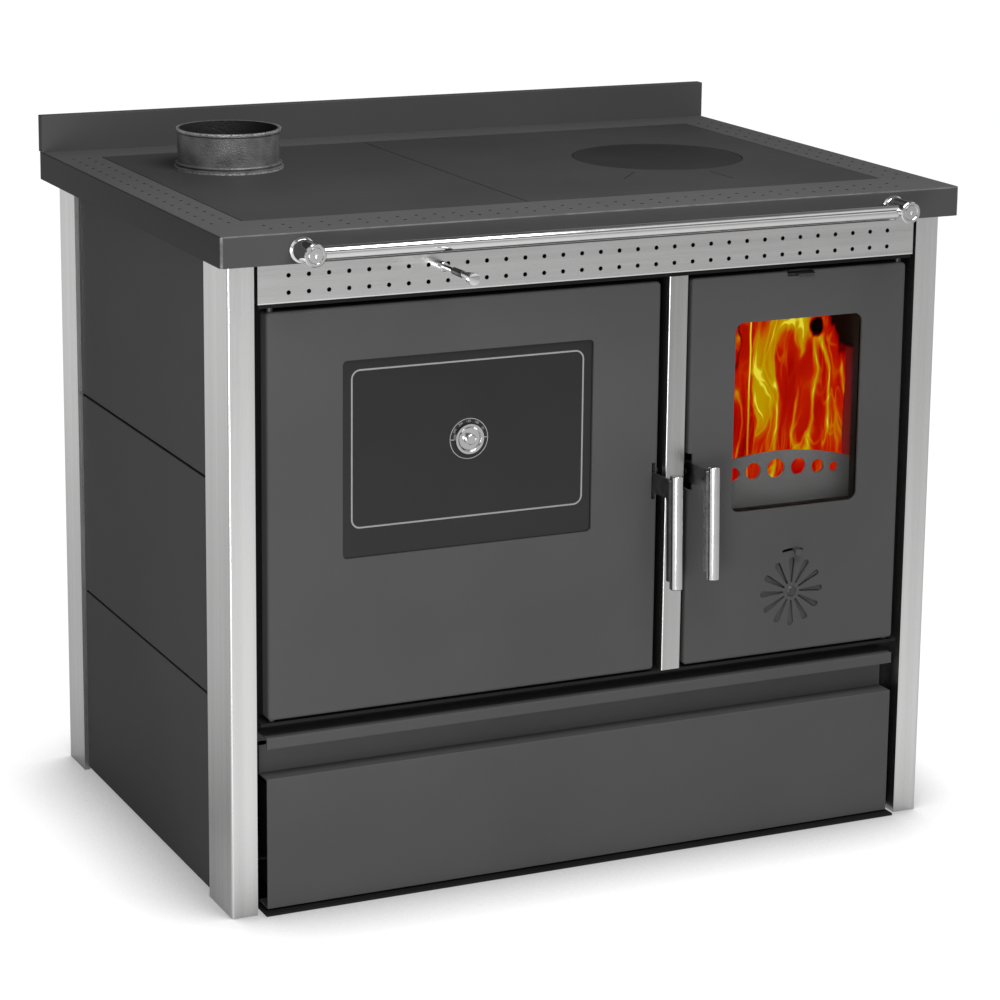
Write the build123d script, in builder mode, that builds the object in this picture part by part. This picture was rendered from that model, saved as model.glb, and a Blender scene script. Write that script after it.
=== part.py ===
"""Wood cookstove with an oven on the left, a firebox on the right and a drawer below.

Frame: millimetres, +Z up, the front faces -Y. The origin is on the floor, under the middle of the worktop.
"""

from math import cos, radians, sin
import os

from build123d import *

os.makedirs("parts", exist_ok=True)

# ---------------------------------------------------------------- worktop
worktop_width = 1020
worktop_depth = 720
hob_height = 860
worktop_sheet = 3
worktop_corner = 6
skirt_height = 38
fold_radius = 1.5
rim_sheet = 1.5
upstand_height = 50
upstand_thickness = 15
upstand_sheet = 1.5
upstand_edge_radius = 1.2
border_side = 62
border_front = 96
border_rear = 80

# ---------------------------------------------------------------- body, inside the worktop's overhang
overhang_front = 22
overhang_side = 16
overhang_rear = 37
sheet = 3
seat_gap = 0.3

post_face = 34
post_sheet = 1.5
post_radius = 3
front_post_depth = 82
rear_post_depth = 68
post_fold = 8
panel_step = 6
panel_pan = 7
panel_sheet = 2
panel_gap = 0.8
panel_seam = 3
panel_edge_radius = 1
seam_heights = (262, 540)
panel_foot = 4

# ---------------------------------------------------------------- front frame and what stands before it
frame_setback = 36
plinth_height = 3
plinth_proud = 10
plinth_side_gap = 8
bay_top = 213
floor_height = 232
door_rail_gap = 3
strip_rail_gap = 1
mullion_width = 23.5
mullion_front = 8
divider_oven_gap = 11.75
divider_fire_gap = 6.25
trim_sheet = 1.5
trim_edge_radius = 1
rail_sheet = 4
rail_end_gap = 6
rail_setback = 2
lip_height = 14
lip_top = 228
lip_side_gap = 13
strip_height = 50
strip_bottom = 771
strip_sheet = 1.5
strip_return = 10
strip_side_gap = 4.5
hole_diameter = 5.6
hole_pitch = 26
hole_margin = 39
hole_row_gap = 21
hole_row_rise = 23

# ---------------------------------------------------------------- doors
door_bottom = 250
door_height = 510
door_depth = 20
door_sheet = 3
door_edge_radius = 4
door_corner_radius = 5
oven_door_gap = 15.5
fire_door_gap = 13
fire_door_width = 316
hinge_inset = 7.5
hinge_setback = 10
hinge_pin_diameter = 8
hinge_pin_length = 15
pin_room_width = 18
pin_room_height = 36
running_clearance = 0.05
liner_sheet = 3
liner_margin = 0.7
glass_thickness = 4
glass_lap = 8
gasket_width = 8
gasket_inner_radius = 2
rim_lap = 3
seal_plane = 24

oven_window_left_margin = 98
oven_window_right_margin = 94
oven_window_height = 249
oven_window_radius = 6
oven_window_centre = 569.5
fire_window_width = 187.5
fire_window_height = 251
fire_window_radius = 12
fire_window_centre = 573

thermometer_height = 581.5
bezel_radius = 19
bezel_rim = 3
bezel_depth = 4
bezel_dish = 2.4
bezel_shank_radius = 3.7
bezel_nut_radius = 6.5
bezel_nut_length = 6
spindle_radius = 2.5
spindle_proud = 2
pointer_radius = 6.6
pointer_height = 6
pointer_sunk = 1.6
pointer_bore = 4.7
pointer_arm_width = 3
pointer_arm_length = 13
pointer_arm_sheet = 1.6
pointer_angle = 145

petal_count = 12
petal_inner = 12
petal_outer = 46.5
petal_root_width = 2.5
petal_tip_radius = 4.25
petal_offset = 10
rosette_height = 332
rosette_radius = 50
rosette_sheet = 2
rosette_slot_radius = 57
rosette_slot_width = 4
rosette_slot_angle = 13.5
rosette_tab_angle = 6
rosette_tab_width = 9
rosette_tab_proud = 5
rosette_tab_cap = 8
rosette_tab_sheet = 2
rosette_arm_length = 12
rosette_arm_width = 7
rosette_room = 12
rivet_radius = 4
rivet_head_radius = 7
rivet_head_height = 2.3
rivet_head_flat = 2.5
rivet_washer_radius = 8
rivet_washer = 2

air_slide_sheet = 2.4
air_slide_length = 60
air_slide_depth = 9
air_slide_setback = 1.5
air_tab_width = 24
air_tab_proud = 2
air_tab_gap = 1
air_slide_travel = 14

# ---------------------------------------------------------------- door latches
latch_sheet = 4
latch_slot_clearance = 0.7
latch_slot_drop = 22
latch_slot_rise = 26
latch_lean = 2
hub_radius = 9
latch_pin_diameter = 8
latch_setback = 12
fire_latch_inset = 1
arm_reach = 55
arm_height = 25
leg_width = 6.5
leg_length = 120
lever_corner_radius = 5
tail_reach = 22
tail_height = 9
tail_rise = 3.5
keeper_diameter = 8
keeper_setback = 17
keeper_gap = 0.5
keeper_lap = 3
ear_gap = 1.7
ear_sheet = 4
ear_height = 28
bracket_reach = 28
bracket_room = 8
bracket_margin = 2
latch_pin_proud = 0.5
grip_diameter = 17
grip_length = 148
grip_above_arm = 16
grip_pin_diameter = 4.5
grip_pin_pitch = 90
grip_chamfer = 1
oven_latch_height = 500
fire_latch_height = 507

# ---------------------------------------------------------------- towel rail and damper
rail_diameter = 18
rail_height = 839
rail_setout = 30
rail_wall = 1.5
knob_diameter = 28
knob_length = 46
knob_inset = 102
knob_ring_proud = 2
knob_ring_length = 3
knob_neck_length = 6
knob_face_chamfer = 1
knob_groove_width = 2
knob_groove_depth = 0.8
knob_groove_inset = 4
knob_dimple_radius = 2.5
knob_dimple_depth = 1.5
damper_offset = 96
damper_bush_diameter = 12
damper_bush_length = 20
bush_lip_length = 5
bush_neck = 1
bush_shank_wall = 0.9
bush_shank_length = 3
damper_rod_diameter = 6
rod_hole_gap = 1
damper_knob_diameter = 15.5
damper_knob_length = 16
knob_rim_length = 5
knob_bore_depth = 6
sleeve_diameter = 9
sleeve_length = 12
sleeve_chamfer = 1
damper_reach = 106
damper_travel = 60

# ---------------------------------------------------------------- hob and flue
plate_thickness = 8
plate_gap = 1.5
hob_joint = -65
support_sheet = 3
support_ledge = 16
lid_inset = 188
lid_setback = 370
lid_radius = 116
lid_clearance = 1
lid_step = 10
lid_chamfer = 0.6
slot_start = 26
slot_length = 60
slot_width = 1.6
slot_angle = -130
slot_spread = 42
flue_inset = 131
flue_setback = 495
flue_bore = 130
flue_wall = 3
flue_height = 53
flue_spigot = 8
flue_flange = 5
flue_foot = 3
flue_bead = 3
flue_bead_height = 4
flue_lip = 1.6
flue_lip_height = 4

# ---------------------------------------------------------------- oven, firebox and drawer
oven_side_inset = 24.5
oven_bottom = 282
oven_top = 728
oven_depth = 544
oven_flange = 10
rack_height = 470
rack_wire = 5
rack_bar = 4
rack_side_gap = 2
rack_end_gap = 40
runner_ledge = 12
runner_setback = 30
bearer_inset = 60
rack_bars = 11
firebox_width = 272
fire_depth = 449
fire_opening_bottom = 262
fire_opening_top = 748
grate_height = 392
grate_thickness = 10
grate_slots = 9
grate_slot_width = 10
grate_gap = 1
grate_end_gap = 10
grate_rim = 10
grate_slot_end = 30
brick_thickness = 25
brick_height = 250
brick_setback = 30
brick_ledge = 12
brick_ledge_end = 40
guard_setback = 53
guard_sheet = 3
guard_side_gap = 4
guard_edge_height = 103
guard_rise = 22
guard_holes_each_side = 3
guard_hole_height = 102
guard_hole_radius = 13
guard_hole_pitch = 36.3
ash_pan_height = 60
ash_pan_margin = 22
ash_pan_setback = 14
ash_lip_width = 80
ash_lip_reach = 12

drawer_bottom = 6
drawer_top = 175
drawer_side_gap = 13
drawer_sheet = 2
drawer_flange = 30
drawer_pull_top = 211
tray_side_gap = 48
tray_bottom = 20
tray_top = 150
tray_depth = 508
slide_flange = 16
slide_height = 60
runner_gap = 6
runner_web = 30
damper_drop = 14.5
shelf_port = (120, 70)
slide_lap = 10
guide_gap = 1
guide_spare = 20
guide_height = 8
lug_width = 30
lug_rise = 10

# ---------------------------------------------------------------- planes and faces that the pieces share
front_edge = -worktop_depth / 2
rear_edge = worktop_depth / 2
face_y = front_edge + overhang_front
back_y = rear_edge - overhang_rear
outer_x = worktop_width / 2 - overhang_side
inner_x = outer_x - post_face
worktop_underside = hob_height - worktop_sheet
frame_front = face_y + frame_setback
frame_back = frame_front + sheet
panel_face = outer_x - panel_step
wall_outer = panel_face - panel_pan
wall_inner = wall_outer - sheet
back_panel_rear = back_y - post_sheet
back_panel_front = back_panel_rear - sheet
support_bottom = hob_height - plate_thickness - support_sheet
hob_left = -worktop_width / 2 + border_side
hob_right = worktop_width / 2 - border_side
hob_front = front_edge + border_front
hob_rear = rear_edge - border_rear
door_top = door_bottom + door_height
door_back = face_y + door_depth
seal_y = face_y + seal_plane
lower_rail_bottom = door_bottom - door_rail_gap - rail_sheet
upper_rail_bottom = strip_bottom - strip_rail_gap - rail_sheet
hole_row_height = strip_bottom + hole_row_rise
damper_height = hole_row_height + hole_row_gap / 2
smoke_shelf_height = damper_height - damper_drop
fire_door_right = inner_x - fire_door_gap
fire_door_left = fire_door_right - fire_door_width
trim_right = fire_door_left - divider_fire_gap
mullion_right = trim_right - trim_sheet
mullion_left = mullion_right - mullion_width
trim_left = mullion_left - trim_sheet
oven_door_left = -inner_x + oven_door_gap
oven_door_right = trim_left - divider_oven_gap
oven_left = oven_door_left + oven_side_inset
oven_right = oven_door_right - oven_side_inset
oven_hinge_x = oven_door_left + hinge_inset
fire_hinge_x = fire_door_right - hinge_inset
hinge_y = face_y + hinge_setback
oven_window_left = oven_door_left + oven_window_left_margin
oven_window_right = oven_door_right - oven_window_right_margin
oven_window_x = (oven_window_left + oven_window_right) / 2
fire_window_x = (fire_door_left + fire_door_right) / 2
fire_left = fire_window_x - firebox_width / 2
fire_right = fire_window_x + firebox_width / 2
oven_latch_x = oven_door_right - door_sheet - latch_sheet - latch_slot_clearance
fire_latch_x = fire_door_left + fire_latch_inset
latch_y = face_y + latch_setback
drawer_half_width = inner_x - drawer_side_gap
tray_half_width = wall_inner - tray_side_gap
lid_x = hob_right - lid_inset
lid_y = front_edge + lid_setback
flue_x = hob_left + flue_inset
flue_y = front_edge + flue_setback
damper_x = flue_x + damper_offset
flue_radius = flue_bore / 2 + flue_wall
plate_bottom = hob_height - plate_thickness


def facing(y):
    """Plane across the front at depth y: local x is X, local y is Z, and its normal looks at the viewer."""
    return Plane(origin=(0, y, 0), x_dir=(1, 0, 0), z_dir=(0, -1, 0))


def turning(x, y, z):
    """Plane along the axis of a piece turned about Y: local y is the way out towards the viewer."""
    return Plane(origin=(x, y, z), x_dir=(1, 0, 0), z_dir=(0, 0, -1))


def turned(x, y, z):
    """The axis of such a piece."""
    return Axis((x, y, z), (0, -1, 0))


def area(left, right, bottom, top, mode=Mode.ADD):
    """Rectangle given by its four edges, in the sketch that is open."""
    with Locations(((left + right) / 2, (bottom + top) / 2)):
        return Rectangle(right - left, top - bottom, mode=mode)


def rounded_area(left, right, bottom, top, radius, mode=Mode.ADD):
    """The same with rounded corners."""
    with Locations(((left + right) / 2, (bottom + top) / 2)):
        return RectangleRounded(right - left, top - bottom, radius, mode=mode)


# ================================================================ base and body shell
# Base plate: its front edge shows as a black plinth line between the two front posts.
with BuildPart() as base_plate:
    plinth_x = inner_x - plinth_side_gap
    with BuildSketch(Plane.XY):
        area(-plinth_x, plinth_x, face_y - plinth_proud, back_panel_front)
        area(-wall_outer, wall_outer, frame_front, back_panel_front)
    extrude(amount=plinth_height)
base_plate.part.label = "base_plate"
export_step(base_plate.part, "parts/base_plate.step")

# Side walls of black sheet, which carry the outer panels, the runners and the hob frame.
with BuildPart() as side_walls:
    with BuildSketch(Plane.XY.offset(plinth_height)):
        area(-wall_outer, -wall_inner, frame_back, back_panel_front)
        area(wall_inner, wall_outer, frame_back, back_panel_front)
    extrude(amount=support_bottom - plinth_height)
side_walls.part.label = "side_walls"
export_step(side_walls.part, "parts/side_walls.step")

# Back panel.
with BuildPart() as back_panel:
    with BuildSketch(facing(back_panel_rear)):
        area(-wall_outer, wall_outer, plinth_height, support_bottom)
    extrude(amount=sheet)
back_panel.part.label = "back_panel"
export_step(back_panel.part, "parts/back_panel.step")

# Front frame: one plate with the drawer bay and the oven and fire openings, and the box-shaped mullion.
with BuildPart() as front_frame:
    with BuildSketch(facing(frame_back)):
        area(-wall_outer, wall_outer, plinth_height, support_bottom)
        area(-plinth_x, plinth_x, drawer_bottom, bay_top, Mode.SUBTRACT)
        area(oven_left, oven_right, oven_bottom, oven_top, Mode.SUBTRACT)
        area(fire_left + sheet, fire_right - sheet, fire_opening_bottom, fire_opening_top, Mode.SUBTRACT)
        with Locations((damper_x, damper_height)):
            Circle(damper_rod_diameter / 2 + rod_hole_gap, mode=Mode.SUBTRACT)
    extrude(amount=sheet)
    with BuildSketch(Plane.XY.offset(lower_rail_bottom + rail_sheet)):
        area(mullion_left, mullion_right, face_y + mullion_front, frame_front)
        mullion_inside = face_y + mullion_front + sheet
        area(mullion_left + sheet, mullion_right - sheet, mullion_inside, frame_front, Mode.SUBTRACT)
    extrude(amount=upper_rail_bottom - lower_rail_bottom - rail_sheet)
front_frame.part.label = "front_frame"
export_step(front_frame.part, "parts/front_frame.step")

# Floor of the oven and fire compartments, above the drawer bay, with three ribs that carry the oven and
# lead the smoke round it.
with BuildPart() as compartment_floor:
    with BuildSketch(Plane.XY.offset(floor_height)):
        area(-wall_inner, wall_inner, frame_back, back_panel_front)
    extrude(amount=sheet)
    with BuildSketch(Plane.XY.offset(floor_height + sheet)):
        for rib_y in (frame_back + bearer_inset, seal_y + oven_depth / 2, seal_y + oven_depth - bearer_inset):
            area(oven_left + bearer_inset, oven_right - bearer_inset, rib_y, rib_y + sheet)
    extrude(amount=oven_bottom - floor_height - sheet)
compartment_floor.part.label = "compartment_floor"
export_step(compartment_floor.part, "parts/compartment_floor.step")


# ================================================================ brushed steel posts
def post_section(side, corner_y, inward, depth, back_return):
    """Folded section of one post. side is -1 or 1 in X, inward is the way from its outer face along Y."""
    with BuildSketch(Plane.XY) as section:
        xs = sorted((side * outer_x, side * inner_x))
        ys = sorted((corner_y, corner_y + inward * post_sheet))
        area(*xs, *ys)
        xs = sorted((side * outer_x, side * (outer_x - post_sheet)))
        ys = sorted((corner_y, corner_y + inward * depth))
        area(*xs, *ys)
        xs = sorted((side * outer_x, side * (outer_x - post_fold)))
        ys = sorted((corner_y + inward * (depth - post_sheet), corner_y + inward * depth))
        area(*xs, *ys)
        xs = sorted((side * inner_x, side * (inner_x + post_sheet)))
        ys = sorted((corner_y, corner_y + inward * back_return))
        area(*xs, *ys)
        corner = section.vertices().sort_by_distance((side * outer_x, corner_y))[0]
        fillet(corner, post_radius)
    return section.sketch


with BuildPart() as front_posts:
    for side in (-1, 1):
        add(post_section(side, face_y, 1, front_post_depth, frame_setback))
    extrude(amount=worktop_underside)
front_posts.part.label = "front_posts"
export_step(front_posts.part, "parts/front_posts.step")

with BuildPart() as rear_posts:
    for side in (-1, 1):
        add(post_section(side, back_y, -1, rear_post_depth, post_sheet))
    extrude(amount=worktop_underside)
rear_posts.part.label = "rear_posts"
export_step(rear_posts.part, "parts/rear_posts.step")


# ================================================================ outer side panels, three pans on each side
def side_pan(side, bottom, top):
    """One painted pan: a face with a rim folded in all round, open towards the side wall."""
    front = face_y + front_post_depth + panel_gap
    rear = back_y - rear_post_depth - panel_gap
    with BuildPart(mode=Mode.PRIVATE) as pan:
        with BuildSketch(Plane.YZ.offset(side * wall_outer)):
            area(front, rear, bottom, top)
        extrude(amount=side * panel_pan)
        outer_edges = pan.faces().sort_by(Axis.X)[-1 if side > 0 else 0].edges()
        fillet(outer_edges, panel_edge_radius)
        with BuildSketch(Plane.YZ.offset(side * wall_outer)):
            area(front + panel_sheet, rear - panel_sheet, bottom + panel_sheet, top - panel_sheet)
        extrude(amount=side * (panel_pan - panel_sheet), mode=Mode.SUBTRACT)
    return pan.part


pan_bottoms = (panel_foot, seam_heights[0] + panel_seam / 2, seam_heights[1] + panel_seam / 2)
pan_tops = (
    seam_heights[0] - panel_seam / 2,
    seam_heights[1] - panel_seam / 2,
    hob_height - skirt_height - seat_gap,
)

with BuildPart() as side_panels_left:
    for pan_bottom, pan_top in zip(pan_bottoms, pan_tops):
        add(side_pan(-1, pan_bottom, pan_top))
side_panels_left.part.label = "side_panels_left"
export_step(side_panels_left.part, "parts/side_panels_left.step")

with BuildPart() as side_panels_right:
    for pan_bottom, pan_top in zip(pan_bottoms, pan_tops):
        add(side_pan(1, pan_bottom, pan_top))
side_panels_right.part.label = "side_panels_right"
export_step(side_panels_right.part, "parts/side_panels_right.step")

# ================================================================ trims on the front
# Divider: a brushed channel clipped over the mullion.
with BuildPart() as divider:
    with BuildSketch(Plane.XY.offset(lower_rail_bottom + rail_sheet)):
        area(trim_left, trim_right, face_y, face_y + mullion_front + trim_sheet)
        area(mullion_left, mullion_right, face_y + trim_sheet, frame_front, Mode.SUBTRACT)
    extrude(amount=upper_rail_bottom - lower_rail_bottom - rail_sheet)
    fillet(divider.edges().filter_by(Axis.Z).group_by(Axis.Y)[0], trim_edge_radius)
    with BuildSketch(Plane.XY.offset(lower_rail_bottom + rail_sheet)):
        area(mullion_left, mullion_right, face_y + trim_sheet, face_y + mullion_front)
    extrude(amount=rail_sheet)
divider.part.label = "divider"
export_step(divider.part, "parts/divider.step")

# Hinge rails: flat bars above and below the doors, drilled for the hinge pins.
with BuildPart() as hinge_rails:
    rail_x = inner_x - rail_end_gap
    for rail_bottom in (lower_rail_bottom, upper_rail_bottom):
        with BuildSketch(Plane.XY.offset(rail_bottom)):
            area(-rail_x, rail_x, face_y + rail_setback, frame_front)
            with Locations((oven_hinge_x, hinge_y), (fire_hinge_x, hinge_y)):
                Circle(hinge_pin_diameter / 2, mode=Mode.SUBTRACT)
        extrude(amount=rail_sheet)
hinge_rails.part.label = "hinge_rails"
export_step(hinge_rails.part, "parts/hinge_rails.step")

# Hinge pins: two for each door, held in the rails and turning in the door's rims.
with BuildPart() as hinge_pins:
    pin_places = ((oven_hinge_x, hinge_y), (fire_hinge_x, hinge_y))
    with BuildSketch(Plane.XY.offset(lower_rail_bottom)):
        with Locations(*pin_places):
            Circle(hinge_pin_diameter / 2)
    extrude(amount=hinge_pin_length)
    with BuildSketch(Plane.XY.offset(upper_rail_bottom + rail_sheet - hinge_pin_length)):
        with Locations(*pin_places):
            Circle(hinge_pin_diameter / 2)
    extrude(amount=hinge_pin_length)
hinge_pins.part.label = "hinge_pins"
export_step(hinge_pins.part, "parts/hinge_pins.step")

# Sill lip: a folded sheet over the finger groove of the drawer.
with BuildPart() as sill_lip:
    lip_x = inner_x - lip_side_gap
    with BuildSketch(Plane.YZ.offset(-lip_x)):
        area(face_y, frame_front, lip_top - panel_sheet, lip_top)
        area(face_y, face_y + panel_sheet, lip_top - lip_height, lip_top)
        area(frame_front - panel_sheet, frame_front, lip_top - lip_height, lip_top)
    extrude(amount=2 * lip_x)
    fillet(sill_lip.edges().filter_by(Axis.X).sort_by_distance((0, face_y, lip_top))[0], fold_radius)
sill_lip.part.label = "sill_lip"
export_step(sill_lip.part, "parts/sill_lip.step")

# Vent strip: perforated brushed steel under the worktop, with its two ends folded back.
strip_half = inner_x - strip_side_gap
hole_columns = int(2 * (strip_half - hole_margin) // hole_pitch) + 1
with BuildPart() as vent_strip:
    with BuildSketch(Plane.XY.offset(strip_bottom)):
        area(-strip_half, strip_half, face_y, face_y + strip_return)
        strip_inside = strip_half - strip_sheet
        area(-strip_inside, strip_inside, face_y + strip_sheet, frame_front, Mode.SUBTRACT)
    extrude(amount=strip_height)
    with BuildSketch(facing(face_y)):
        with Locations((0, hole_row_height)):
            with GridLocations(hole_pitch, hole_row_gap, hole_columns, 2):
                Circle(hole_diameter / 2)
        with Locations((damper_x, damper_height)):
            Circle(damper_rod_diameter / 2 + rod_hole_gap)
    extrude(amount=-strip_sheet, mode=Mode.SUBTRACT)
vent_strip.part.label = "vent_strip"
export_step(vent_strip.part, "parts/vent_strip.step")

# ================================================================ worktop and hob
# Hob support: a flat frame on the side walls, with a bar under the joint of the two plates.
with BuildPart() as hob_support:
    with BuildSketch(Plane.XY.offset(support_bottom)):
        area(-wall_outer, wall_outer, frame_front, back_panel_rear)
        area(
            hob_left + support_ledge,
            hob_joint - support_ledge,
            hob_front + support_ledge,
            hob_rear - support_ledge,
            Mode.SUBTRACT,
        )
        area(
            hob_joint + support_ledge,
            hob_right - support_ledge,
            hob_front + support_ledge,
            hob_rear - support_ledge,
            Mode.SUBTRACT,
        )
    extrude(amount=support_sheet)
hob_support.part.label = "hob_support"
export_step(hob_support.part, "parts/hob_support.step")

# Worktop: a folded sheet with a skirt on all four sides and the hob opening, which has a turned-down rim.
with BuildPart() as worktop:
    half_width = worktop_width / 2
    skirt_bottom = hob_height - skirt_height
    with BuildSketch(Plane.XY.offset(skirt_bottom)):
        rounded_area(-half_width, half_width, front_edge, rear_edge, worktop_corner)
    extrude(amount=skirt_height)
    fillet(worktop.faces().sort_by(Axis.Z)[-1].edges(), fold_radius)
    with BuildSketch(Plane.XY.offset(skirt_bottom)):
        rounded_area(
            -half_width + worktop_sheet,
            half_width - worktop_sheet,
            front_edge + worktop_sheet,
            rear_edge - worktop_sheet,
            worktop_corner - worktop_sheet,
        )
    extrude(amount=skirt_height - worktop_sheet, mode=Mode.SUBTRACT)
    with BuildSketch(Plane.XY.offset(support_bottom + support_sheet)):
        area(hob_left - rim_sheet, hob_right + rim_sheet, hob_front - rim_sheet, hob_rear + rim_sheet)
    extrude(amount=worktop_underside - support_bottom - support_sheet)
    with BuildSketch(Plane.XY.offset(support_bottom + support_sheet)):
        area(hob_left, hob_right, hob_front, hob_rear)
    extrude(amount=plate_thickness, mode=Mode.SUBTRACT)
worktop.part.label = "worktop"
export_step(worktop.part, "parts/worktop.step")

# Rear upstand: a hollow fold that stands on the worktop's rear edge.
with BuildPart() as upstand:
    with BuildSketch(Plane.XY.offset(hob_height)):
        area(-half_width, half_width, rear_edge - upstand_thickness, rear_edge)
    extrude(amount=upstand_height)
    fillet(upstand.faces().sort_by(Axis.Z)[-1].edges(), upstand_edge_radius)
    with BuildSketch(Plane.XY.offset(hob_height)):
        area(
            -half_width + upstand_sheet,
            half_width - upstand_sheet,
            rear_edge - upstand_thickness + upstand_sheet,
            rear_edge - upstand_sheet,
        )
    extrude(amount=upstand_height - upstand_sheet, mode=Mode.SUBTRACT)
upstand.part.label = "upstand"
export_step(upstand.part, "parts/upstand.step")

# Left hob plate with the flue hole.
with BuildPart() as hob_plate_left:
    with BuildSketch(Plane.XY.offset(plate_bottom)):
        area(hob_left + plate_gap, hob_joint - plate_gap / 2, hob_front + plate_gap, hob_rear - plate_gap)
        with Locations((flue_x, flue_y)):
            Circle(flue_radius + running_clearance, mode=Mode.SUBTRACT)
    extrude(amount=plate_thickness)
hob_plate_left.part.label = "hob_plate_left"
export_step(hob_plate_left.part, "parts/hob_plate_left.step")

# Right hob plate: a stepped hole for the lid, and two saw cuts that let the iron grow with heat.
with BuildPart() as hob_plate_right:
    with BuildSketch(Plane.XY.offset(plate_bottom)):
        area(hob_joint + plate_gap / 2, hob_right - plate_gap, hob_front + plate_gap, hob_rear - plate_gap)
        with Locations((lid_x, lid_y)):
            Circle(lid_radius - lid_step + lid_clearance, mode=Mode.SUBTRACT)
            slot_middle = lid_radius + slot_start + slot_length / 2
            with PolarLocations(slot_middle, 2, slot_angle, slot_spread, endpoint=True):
                Rectangle(slot_length, slot_width, mode=Mode.SUBTRACT)
    extrude(amount=plate_thickness)
    with BuildSketch(Plane.XY.offset(hob_height - plate_thickness / 2)):
        with Locations((lid_x, lid_y)):
            Circle(lid_radius + lid_clearance)
    extrude(amount=plate_thickness / 2, mode=Mode.SUBTRACT)
hob_plate_right.part.label = "hob_plate_right"
export_step(hob_plate_right.part, "parts/hob_plate_right.step")

# Hob lid: a stepped cast disc that drops into the right plate.
with BuildPart() as hob_lid:
    with BuildSketch(Plane.XY.offset(plate_bottom)):
        with Locations((lid_x, lid_y)):
            Circle(lid_radius - lid_step)
    extrude(amount=plate_thickness / 2 + seat_gap)
    with BuildSketch(Plane.XY.offset(hob_height - plate_thickness / 2 + seat_gap)):
        with Locations((lid_x, lid_y)):
            Circle(lid_radius)
    extrude(amount=plate_thickness / 2 - seat_gap)
    chamfer(hob_lid.edges().group_by(Axis.Z)[-1], lid_chamfer)
hob_lid.part.label = "hob_lid"
export_step(hob_lid.part, "parts/hob_lid.step")

# Flue collar: a cast ring with a beaded foot that rests on the plate and a spigot that hangs in its hole.
with BuildPart() as flue_collar:
    bore_radius = flue_bore / 2
    collar_top = hob_height + flue_height
    bead_bottom = hob_height + flue_foot + 2
    with BuildSketch(Plane(origin=(flue_x, flue_y, 0), x_dir=(1, 0, 0), z_dir=(0, -1, 0))):
        with BuildLine():
            Polyline(
                (flue_radius, bead_bottom + flue_bead_height),
                (flue_radius, collar_top - flue_lip_height - flue_lip),
                (flue_radius + flue_lip, collar_top - flue_lip_height),
                (flue_radius + flue_lip, collar_top),
                (bore_radius, collar_top),
                (bore_radius, hob_height - flue_spigot),
                (flue_radius, hob_height - flue_spigot),
                (flue_radius, hob_height),
                (flue_radius + flue_flange, hob_height),
                (flue_radius + flue_flange, hob_height + flue_foot),
                (flue_radius + flue_bead / 2, bead_bottom),
            )
            ThreePointArc(
                (flue_radius + flue_bead / 2, bead_bottom),
                (flue_radius + flue_bead, bead_bottom + flue_bead_height / 2),
                (flue_radius, bead_bottom + flue_bead_height),
            )
        make_face()
    revolve(axis=Axis((flue_x, flue_y, 0), (0, 0, 1)))
flue_collar.part.label = "flue_collar"
export_step(flue_collar.part, "parts/flue_collar.step")

# ================================================================ towel rail
rail_y = front_edge - rail_setout
knob_x = worktop_width / 2 - knob_inset


def rail_knob(x):
    """Turned stand-off: a base ring, a neck, a body and a face with a groove and a centre dimple."""
    radius = knob_diameter / 2
    neck = radius - knob_face_chamfer
    body_start = knob_ring_length + knob_neck_length
    groove_outer = radius - knob_groove_inset
    groove_floor = knob_length - knob_groove_depth
    with BuildPart(mode=Mode.PRIVATE) as knob:
        with BuildSketch(turning(x, front_edge, rail_height)):
            with BuildLine():
                Polyline(
                    (0, 0),
                    (radius + knob_ring_proud, 0),
                    (radius + knob_ring_proud, knob_ring_length),
                    (neck, knob_ring_length + knob_face_chamfer),
                    (neck, body_start - knob_face_chamfer),
                    (radius, body_start),
                    (radius, knob_length - knob_face_chamfer),
                    (radius - knob_face_chamfer, knob_length),
                    (groove_outer, knob_length),
                    (groove_outer - knob_groove_depth, groove_floor),
                    (groove_outer - knob_groove_width, groove_floor),
                    (groove_outer - knob_groove_width, knob_length),
                    (knob_dimple_radius, knob_length),
                    (0, knob_length - knob_dimple_depth),
                    (0, 0),
                )
            make_face()
        revolve(axis=turned(x, front_edge, rail_height))
    return knob.part


with BuildPart() as rail_knobs:
    for side in (-1, 1):
        add(rail_knob(side * knob_x))
    with BuildSketch(Plane.YZ.offset(-knob_x)):
        with Locations((rail_y, rail_height)):
            Circle(rail_diameter / 2)
    extrude(amount=2 * knob_x, mode=Mode.SUBTRACT)
rail_knobs.part.label = "rail_knobs"
export_step(rail_knobs.part, "parts/rail_knobs.step")

with BuildPart() as towel_rail:
    with BuildSketch(Plane.YZ.offset(-knob_x)):
        with Locations((rail_y, rail_height)):
            Circle(rail_diameter / 2)
            Circle(rail_diameter / 2 - rail_wall, mode=Mode.SUBTRACT)
    extrude(amount=2 * knob_x)
towel_rail.part.label = "towel_rail"
export_step(towel_rail.part, "parts/towel_rail.step")

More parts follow.
